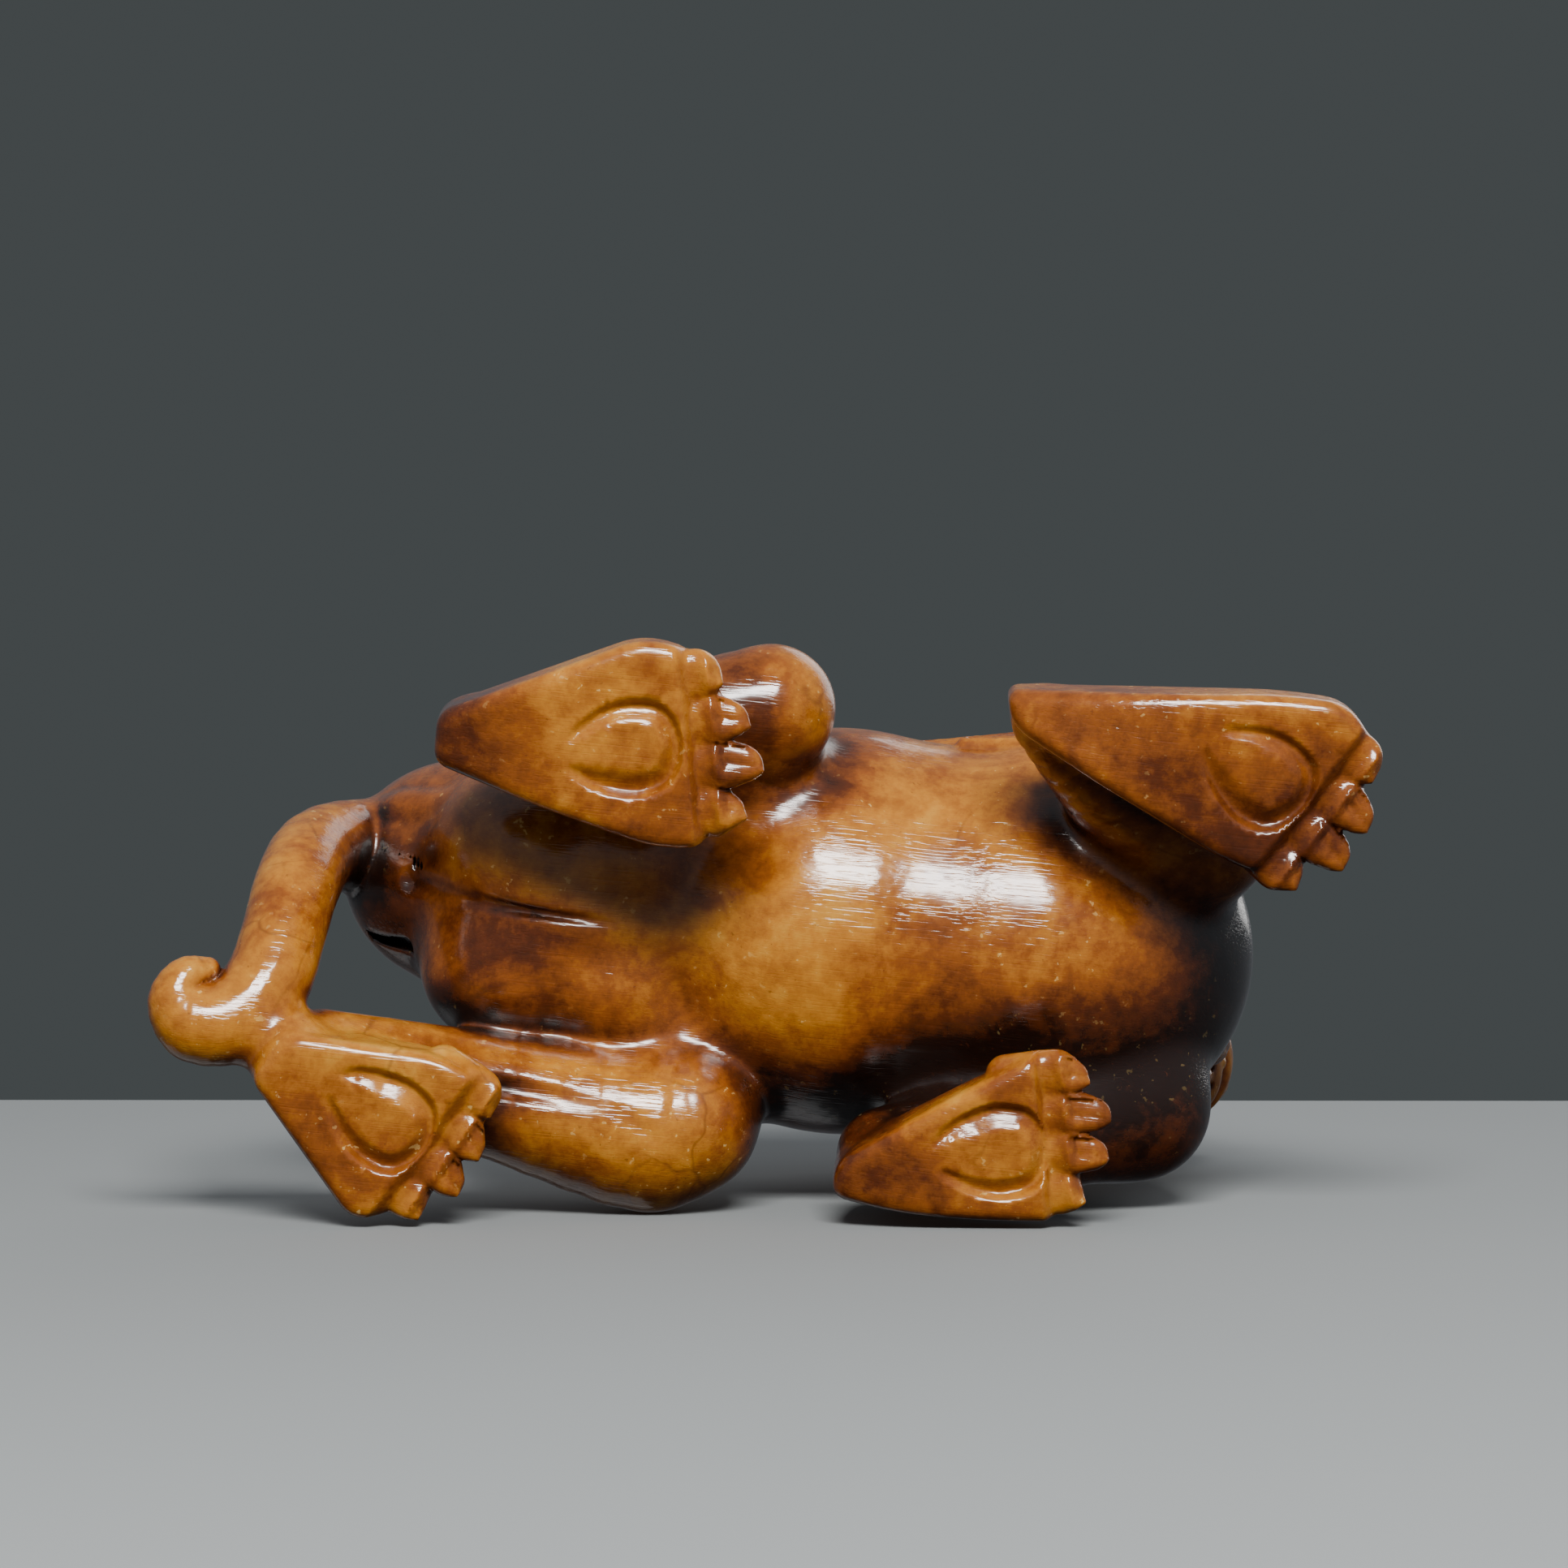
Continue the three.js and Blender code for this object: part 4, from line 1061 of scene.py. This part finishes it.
    def head(self, beast: Figure) -> None:
        """Neck, snub-nosed head, one horn and a short beard."""
        on = self.head_frame
        beast.add(Limb([(19, 0, 33, 13.5), (22.5, 2.6, 40, 11.6), (25.5, 5.6, 45, 10)]), 5)
        beast.add(on.blob((0, 0, 0), (9.6, 9.6, 8.4)), 3)
        beast.add(on.blob((9.2, 0, -2.6), (7.4, 6.6, 5.0), 6), 2)
        beast.add(on.blob((8.2, 0, -8.4), (7.2, 5.6, 3.0), -6), 1.5)
        beast.cut(on.blob((14.6, 0, -5.8), (9, 5.0, 1.3)), 0.5)
        beast.add(on.blob((14.8, 0, 0.2), (2.4, 3.2, 2.2)), 1.0)
        for side in Side:
            self.face_side(beast, side)
        horn = [
            (3.5, 0, 6.8, 2.6), (-3.5, 0, 9.4, 2.4), (-11.5, 0, 8.0, 2.1),
            (-17, -1, 4.4, 1.8), (-20.5, -2, 2.6, 1.3),
        ]
        beast.add(on.limb(horn, 12), 1.0)
        beast.add(Limb([(17, 4, 46.5, 7.5), (9, 1, 43.5, 5)]), 3)
        for y, low in ((-4.2, 33), (-0.4, 30.5), (3.6, 29.5), (7.6, 30.5), (11.2, 33)):
            out = 41.2 - 0.02 * (y - 2) ** 2
            lock = [
                (33.5, 2 + y * 0.9, 39.5, 3.0), (out - 2.2, 1 + y, low + 5, 2.4), (out - 1.6, y, low, 1.3),
            ]
            beast.add(Limb(lock), 0.5)
            for aside in (-0.9, 0.9):
                strand = [(37.5, 2 + y * 0.95 + aside, 38, 0.25), (out + 0.4, 1 + y + aside, low + 5, 0.3),
                          (out - 0.2, y + aside * 0.5, low + 0.5, 0.2)]
                beast.cut(Limb(strand), 0.3)

    def face_side(self, beast: Figure, side: Side) -> None:
        """Cheek, brow, eye, ear, fang, curl and nostril of one side."""
        on, s = self.head_frame, side.value
        beast.add(on.blob((3.6, s * 7.6, -4.0), (5.4, 3.4, 4.8)), 1.5)
        brow = [(10.6, s * 3.0, 3.8, 1.5), (7.2, s * 5.9, 5.2, 2.0), (2.4, s * 8.1, 4.0, 1.4)]
        beast.add(on.limb(brow), 0.8)
        beast.add(on.blob((7.4, s * 5.6, 1.6), (2.5, 2.3, 2.2)), 0.4)
        beast.cut(on.blob((9.5, s * 6.3, 1.6), (0.7, 0.7, 0.7)), 0.3)
        ear = [(-1.5, s * 8.4, 3.0, 2.5), (-5.4, s * 10.6, 4.8, 2.2), (-9.4, s * 11.0, 5.0, 1.3)]
        beast.add(on.limb(ear), 0.8)
        shell = [(-3.0, s * 11.4, 4.2, 0.6), (-6.0, s * 12.6, 4.9, 0.8), (-8.6, s * 12.4, 5.0, 0.3)]
        beast.cut(on.limb(shell), 0.5)
        beast.add(on.limb([(13.4, s * 3.0, -4.6, 1.1), (13.8, s * 3.1, -7.4, 0.7)], 4), 0.3)
        curl = [(1.5, s * 9.0, -6.5, 2.6), (-3.5, s * 10.6, -7.5, 2.4), (-6.0, s * 10.0, -4.8, 1.6)]
        beast.add(on.limb(curl), 0.7)
        beast.cut(on.blob((16.3, s * 1.6, -0.2), (1.3, 0.8, 0.8)), 0.4)

    def mane(self, beast: Figure) -> None:
        """Locks that fall from behind the ears down each side of the neck, with combed strands."""
        fall = (
            (3, -0.8, 0.6, 2.7), (-2.5, 0.6, -1.8, 2.5), (-6.6, 0.0, -1.4, 1.9), (-7.8, -0.2, 0.9, 1.5),
        )
        for side in Side:
            for i in range(4):
                x, z, middle, out = 22.5 - 3.4 * i, 39.5 + 3.2 * i, 1.4 + 1.2 * i, 11.4 - 1.3 * i
                lock = [(x + dx, middle + side.value * (out + dy), z + dz, r) for dx, dy, dz, r in fall]
                beast.add(Limb(lock), 0.6)
                for lift in (-0.9, 0.5):
                    strand = [
                        (a, b + side.value * (r - 0.1), c + lift, 0.28) for a, b, c, r in lock[:3]
                    ]
                    beast.cut(Limb(strand), 0.3)

    def wing(self, beast: Figure, side: Side) -> None:
        """Four swept feathers in low relief along the flank, each with its shaft."""
        feathers = (
            ((31, 14.6, 27), (23, 16.5, 25.4), (15.2, 16.8, 26)),
            ((30.4, 14.2, 30), (21, 16.0, 29.6), (11.6, 15.4, 30.6)),
            ((29.8, 13.2, 33), (19, 14.6, 33.6), (8.2, 13.9, 35)),
            ((29.2, 11.6, 36), (17.5, 12.5, 37.4), (5, 11.6, 39)),
        )
        for feather in feathers:
            stations = [(x, side.value * y, z, r) for (x, y, z), r in zip(feather, (2.3, 2.0, 1.0))]
            beast.add(Limb(stations, 8), 0.5)
        for feather in feathers:
            shaft = [
                (x, side.value * (y + out), z, 0.28) for (x, y, z), out in zip(feather, (2.25, 1.95, 1.0))
            ]
            beast.cut(Limb(shaft, 8), 0.3)

    def back_ridge(self, beast: Figure) -> None:
        """A row of low knobs along the spine."""
        count = 8
        for i in range(count):
            x = 2.5 - 31 * i / (count - 1)
            beast.add(Blob((x, -0.4, 41.6 - 0.0016 * (x - 3) ** 2), (2.5, 2.3, 1.9)), 0.8)

    def underside(self, beast: Figure) -> None:
        """The cleft of the haunches and the folds under the root of the tail."""
        cleft = [
            (-31, -1.9, 19, 1.0), (-26, -1.8, 13.3, 0.5), (-18, -1.6, 11.1, 0.22), (-8.5, -1.3, 10.4, 0.1),
        ]
        beast.cut(Limb(cleft), 0.7)
        for fold in (
            [(-34.6, 2.6, 30.0, 0.5), (-33.4, 3.6, 25.4, 0.9), (-30.4, 3.9, 21.4, 0.6)],
            [(-35.4, -4.4, 25.6, 0.4), (-32.8, -3.6, 22.8, 0.8), (-29.0, -3.2, 19.4, 0.5)],
        ):
            beast.cut(Limb(fold, 6), 0.7)

    def settle(self, figure: Figure, points: Array, faces: Array, rounds: int) -> Array:
        """Spreads the points evenly and draws them back onto the figure.

        Args:
            figure: The figure.
            points: The net's points.
            faces: Its faces.
            rounds: How often it is done.

        Returns:
            The settled points.
        """
        near = figure.near(points, self.room)
        edges = np.concatenate([faces[:, [i, (i + 1) % faces.shape[1]]] for i in range(faces.shape[1])])
        share = np.bincount(edges[:, 0], minlength=len(points))
        for _ in range(rounds):
            middle = np.stack(
                [np.bincount(edges[:, 0], points[edges[:, 1], i], len(points)) for i in range(3)], 1
            ) / share[:, None]
            away = figure.slope(points, near)[1]
            away /= np.maximum(np.linalg.norm(away, axis=1), 1e-6)[:, None]
            move = middle - points
            points = points + 0.6 * (move - (move * away).sum(1)[:, None] * away)
            points = self.draw_on(figure, points, near)
        return points

    def draw_on(self, figure: Figure, points: Array, near: list[list[Array]]) -> Array:
        """Moves points along the gradient to where the distance is nought.

        Args:
            figure: The figure.
            points: The points.
            near: The forms near each of them.

        Returns:
            The moved points.
        """
        gap, away = figure.slope(points, near)
        steep = np.maximum((away**2).sum(1), 0.3)
        move = np.clip(gap / steep, -0.6 * self.step, 0.6 * self.step)
        return points - move[:, None] * away

    def build(self) -> bpy.types.Object:
        """Draws the carving, thins it where it is plain and dresses it.

        Returns:
            The finished piece.
        """
        figure = self.carve()
        lattice = Lattice(figure, self.step)
        points, faces = lattice.net()
        points = self.draw_on(figure, points, figure.near(points, self.room))
        log.info("net of %d points, %d faces", len(points), len(faces))
        piece = self.mesh_object(points, self.split(points, faces))
        mesh = self.thinned(piece)
        flat = np.empty(len(mesh.vertices) * 3)
        mesh.vertices.foreach_get("co", flat)
        points = flat.reshape(-1, 3)
        corners = np.empty(len(mesh.polygons) * 3, np.int32)
        mesh.polygons.foreach_get("vertices", corners)
        corners = corners.reshape(-1, 3)
        points = self.settle(figure, points, corners, 1)
        near = figure.near(points, self.room)
        away = figure.slope(points, near)[1]
        away /= np.maximum(np.linalg.norm(away, axis=1), 1e-6)[:, None]
        self.measures(mesh, lattice, points, away)
        placed = points * UNIT + np.array(self.shift) * MM
        mesh.vertices.foreach_set("co", placed.ravel())
        mesh.polygons.foreach_set("use_smooth", np.ones(len(mesh.polygons), bool))
        mesh.normals_split_custom_set_from_vertices(away.tolist())
        mesh.update()
        piece.data = mesh
        mesh.materials.clear()
        mesh.materials.append(self.finish.make())
        return piece

    def mesh_object(self, points: Array, faces: Array) -> bpy.types.Object:
        """Makes a mesh object of the net."""
        mesh = bpy.data.meshes.new("carved_pixiu")
        mesh.vertices.add(len(points))
        mesh.vertices.foreach_set("co", points.ravel())
        mesh.loops.add(faces.size)
        mesh.loops.foreach_set("vertex_index", faces.ravel().astype(np.int32))
        mesh.polygons.add(len(faces))
        mesh.polygons.foreach_set("loop_start", np.arange(0, faces.size, faces.shape[1], dtype=np.int32))
        mesh.update(calc_edges=True)
        piece = bpy.data.objects.new("carved_pixiu", mesh)
        bpy.context.scene.collection.objects.link(piece)
        return piece

    @staticmethod
    def split(points: Array, quads: Array) -> Array:
        """Two triangles for each four-sided face, parted along its shorter diagonal."""
        a, b, c, d = (points[quads[:, i]] for i in range(4))
        short = (np.linalg.norm(c - a, axis=1) < np.linalg.norm(d - b, axis=1))[:, None]
        first = np.where(short, quads[:, [0, 1, 2]], quads[:, [0, 1, 3]])
        second = np.where(short, quads[:, [0, 2, 3]], quads[:, [1, 2, 3]])
        return np.concatenate([first, second])

    def thinned(self, piece: bpy.types.Object) -> bpy.types.Mesh:
        """Takes faces from where the stone is plain.

        Args:
            piece: The object with the full net of triangles.

        Returns:
            A mesh of triangles, fewer than the most allowed.
        """
        modifier = piece.modifiers.new("thin", "DECIMATE")
        modifier.ratio = min(1.0, self.most_faces / len(piece.data.polygons))
        view = bpy.context.evaluated_depsgraph_get()
        mesh = bpy.data.meshes.new_from_object(piece.evaluated_get(view))
        piece.modifiers.clear()
        return mesh

    def measures(self, mesh: bpy.types.Mesh, lattice: Lattice, points: Array, away: Array) -> None:
        """Stores at each point how hollow, thin, pale and mottled the stone is there; hollowness paints
        shade and dulls the polish, thinness paints a paler glow.

        Args:
            mesh: The thinned mesh.
            lattice: The distances round the figure.
            points: The mesh's points, in figure units.
            away: The outward direction at each point.
        """
        hollow = np.zeros(len(points))
        # Painted shade: how enclosed each point is, read from the distances a little way out along its
        # normal.
        for reach, share in ((1.2, 0.35), (2.8, 0.4), (5.5, 0.35)):
            hollow += share * np.clip(1 - lattice.sample(points + away * reach) / reach, 0, 1.2)
        # Painted glow: how thin the stone is behind each point, which the finish paints paler.
        thin = np.clip(1 + lattice.sample(points - away * 2.4) / 2.0, 0, 1)
        tone = np.full(len(points), self.plain_tone)
        for patch in self.patches:
            gap = ((points - np.array(patch.centre)) ** 2).sum(1)
            tone += patch.tone * np.exp(-gap / patch.reach**2)
        high = np.clip((points[:, 2] - 1.5) / 5, 0, 1)
        # The painted shade is made weaker near the ground, on the soles.
        hollow = np.clip(hollow, 0, 1) * (0.35 + 0.65 * high)
        found = {"hollow": hollow, "thin": thin, "tone": tone, "mottle": 0.9 + 0.1 * high}
        for name, values in found.items():
            layer = mesh.attributes.new(name, "FLOAT", "POINT")
            layer.data.foreach_set("value", values.astype(np.float32))


@dataclass(frozen=True)
class SurfaceFinish:
    """A plain matt surface that shows only from the side it faces."""

    name: str
    colour: tuple
    roughness: float = 0.9

    def make(self) -> bpy.types.Material:
        """Builds the surface, see-through from behind.

        Returns:
            The material.
        """
        material = bpy.data.materials.new(self.name)
        material.use_nodes = True
        tree = material.node_tree
        shader = tree.nodes["Principled BSDF"]
        shader.inputs["Base Color"].default_value = self.colour
        shader.inputs["Roughness"].default_value = self.roughness
        clear = tree.nodes.new("ShaderNodeBsdfTransparent")
        side = tree.nodes.new("ShaderNodeNewGeometry")
        mix = tree.nodes.new("ShaderNodeMixShader")
        tree.links.new(side.outputs["Backfacing"], mix.inputs["Fac"])
        tree.links.new(shader.outputs[0], mix.inputs[1])
        tree.links.new(clear.outputs[0], mix.inputs[2])
        tree.links.new(mix.outputs[0], tree.nodes["Material Output"].inputs["Surface"])
        return material


@dataclass
class PhotoCamera:
    """The camera, where the photograph's stands in relation to the carving, in figure units."""

    picture: float = 1932.0
    scale: float = 15.17  # pixels to a unit at the soles
    away: float = 470.0
    dip: float = 9.0
    roll: float = 5.5
    middle: Point = (950.0, 1150.0)
    lower: float = 3.9  # how far the figure lies to the right of the picture's own axis
    sensor: float = 36.0

    def axes(self) -> tuple[Array, Array, Array]:
        """Right, up and backward directions of the camera."""
        a, t = math.radians(self.dip), math.radians(self.roll)
        back = np.array([0, -math.sin(a), -math.cos(a)])
        right = np.array([1.0, 0, 0])
        up = np.cross(back, right)
        turned = math.cos(t) * right + math.sin(t) * up
        return turned, -math.sin(t) * right + math.cos(t) * up, back

    def build(self, shift: Point) -> bpy.types.Object:
        """Places the camera.

        Args:
            shift: From the figure's frame to the part's, in millimetres.

        Returns:
            The camera object.
        """
        right, up, back = self.axes()
        centre = self.picture / 2
        spot = self.away * back - right * (self.middle[0] - centre) / self.scale
        spot = spot + up * (self.middle[1] - centre) / self.scale - np.array([0, self.lower, 0])
        data = bpy.data.cameras.new("photo_camera")
        data.sensor_fit = "HORIZONTAL"
        data.sensor_width = self.sensor
        data.lens = self.scale * self.away / self.picture * self.sensor
        data.clip_start, data.clip_end = 0.01, 20
        camera = bpy.data.objects.new("photo_camera", data)
        place = Vector(spot * UNIT + np.array(shift) * MM)
        turn = Matrix((right, up, back)).transposed().to_4x4()
        camera.matrix_world = Matrix.Translation(place) @ turn
        bpy.context.scene.collection.objects.link(camera)
        bpy.context.scene.camera = camera
        return camera


@dataclass
class Studio:
    """A pale floor under the feet, the pale table that the left flank lies on, and soft light."""

    floor_half: float = 1.6
    floor_gap: float = 0.0001
    table_half: float = 0.7
    table_near: float = -0.46
    table_far: float = 0.11
    table_normal: Point = (-0.0956, -0.9889, 0.1150)
    backdrop: tuple = (0.062, 0.070, 0.072, 1)
    aim: Point = (0.005, 0.0, 0.02)  # metres, the place that the lamps face

    def build(self, piece: bpy.types.Object) -> None:
        """Lays the floor and the table and hangs the lights.

        Args:
            piece: The carving that the table touches.
        """
        pale = SurfaceFinish("pale_surface", (0.23, 0.245, 0.25, 1))
        material = pale.make()
        half = self.floor_half
        floor = [(-half, -half), (half, -half), (half, half), (-half, half)]
        self.plane("floor", [Vector((x, y, -self.floor_gap)) for x, y in floor], material)
        self.table(piece, material)
        self.lights()
        self.surroundings()

    def table(self, piece: bpy.types.Object, material: bpy.types.Material) -> None:
        """Lays the table against the carving's left flank, facing it.

        Args:
            piece: The carving.
            material: The table's surface.
        """
        normal = Vector(self.table_normal).normalized()
        flat = np.empty(len(piece.data.vertices) * 3)
        piece.data.vertices.foreach_get("co", flat)
        lowest = float((flat.reshape(-1, 3) @ np.array(normal)).min())
        across = Vector((1, 0, 0)) - normal * normal.x
        across.normalize()
        deep = across.cross(normal)
        if deep.z < 0:
            deep = -deep
        origin = normal * lowest
        corners = [(-1, self.table_near), (1, self.table_near), (1, self.table_far), (-1, self.table_far)]
        spots = [origin + across * (self.table_half * s) + deep * d for s, d in corners]
        facing = (spots[1] - spots[0]).cross(spots[2] - spots[1])
        if facing.dot(normal) < 0:
            spots.reverse()
        self.plane("table", spots, material)

    def plane(self, name: str, corners: Sequence[Vector], material: bpy.types.Material) -> None:
        """Makes a flat stage surface that only the camera sees."""
        mesh = bpy.data.meshes.new(name)
        mesh.from_pydata([tuple(c) for c in corners], [], [(0, 1, 2, 3)])
        mesh.materials.append(material)
        surface = bpy.data.objects.new(name, mesh)
        bpy.context.scene.collection.objects.link(surface)
        surface.visible_diffuse = False
        surface.visible_glossy = False
        surface.visible_transmission = False
        surface.visible_shadow = False
        surface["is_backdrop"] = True

    def lights(self) -> None:
        """Hangs the soft boxes, each by its direction from the carving."""
        self.soft_box("key", (-0.02, -0.69, -0.71), 0.62, (0.28, 0.17), 7.4, (1.0, 0.985, 0.96))
        self.soft_box("above", (0.45, -0.35, 0.82), 0.8, (0.6, 0.5), 1.8, (1.0, 0.985, 0.96))
        self.soft_box("left", (-0.35, 0.85, 0.45), 0.9, (0.7, 0.5), 0.4, (0.97, 0.985, 1.0))

    def soft_box(
        self, name: str, toward: Point, away: float, size: Point, power: float, colour: Point
    ) -> None:
        """Hangs one soft box that faces the carving.

        Args:
            name: The light's name.
            toward: Direction from the carving.
            away: Distance in metres.
            size: Width and height in metres.
            power: In watts.
            colour: Its tint.
        """
        light = bpy.data.lights.new(name, "AREA")
        light.shape = "RECTANGLE"
        light.size, light.size_y = size
        light.energy = power
        light.color = colour
        lamp = bpy.data.objects.new(name, light)
        centre = Vector(self.aim)
        direction = Vector(toward).normalized()
        lamp.location = centre + direction * away
        lamp.rotation_mode = "QUATERNION"
        lamp.rotation_quaternion = direction.to_track_quat("Z", "Y")
        lamp.visible_camera = False
        bpy.context.scene.collection.objects.link(lamp)

    def surroundings(self) -> None:
        """Soft light from all round, less from the table's side, and plain grey past the stage."""
        world = bpy.data.worlds.new("studio")
        bpy.context.scene.world = world
        world.use_nodes = True
        tree = world.node_tree
        tree.nodes.clear()
        path = tree.nodes.new("ShaderNodeLightPath")
        even = tree.nodes.new("ShaderNodeBackground")
        even.inputs["Color"].default_value = (0.86, 0.92, 1.0, 1)
        toward = tree.nodes.new("ShaderNodeTexCoord")
        parts = tree.nodes.new("ShaderNodeSeparateXYZ")
        fade = tree.nodes.new("ShaderNodeMapRange")
        tree.links.new(toward.outputs["Generated"], parts.inputs[0])
        tree.links.new(parts.outputs["Y"], fade.inputs["Value"])
        for name, number in (("From Min", -0.6), ("From Max", 0.7), ("To Min", 0.32), ("To Max", 0.03)):
            fade.inputs[name].default_value = number
        tree.links.new(fade.outputs["Result"], even.inputs["Strength"])
        seen = tree.nodes.new("ShaderNodeBackground")
        seen.inputs["Color"].default_value = self.backdrop
        mix = tree.nodes.new("ShaderNodeMixShader")
        out = tree.nodes.new("ShaderNodeOutputWorld")
        tree.links.new(path.outputs["Is Camera Ray"], mix.inputs["Fac"])
        tree.links.new(even.outputs[0], mix.inputs[1])
        tree.links.new(seen.outputs[0], mix.inputs[2])
        tree.links.new(mix.outputs[0], out.inputs["Surface"])


def main() -> None:
    """Builds the carving, the camera and the studio in order."""
    logging.basicConfig(level=logging.INFO, format="%(name)s: %(message)s")
    carving = Carving()
    piece = carving.build()
    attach(piece, "root")
    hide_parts(NODE)
    log.info("carving: %d points, %d faces", len(piece.data.vertices), len(piece.data.polygons))
    PhotoCamera().build(carving.shift)
    Studio().build(piece)
    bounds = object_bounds()
    for name, box in (("solid", CAD_BOX), ("dressed", bounds)):
        log.info("box of the %s in mm: %s", name, [[round(v / MM, 2) for v in corner] for corner in box])


if __name__ == "__main__":
    main()
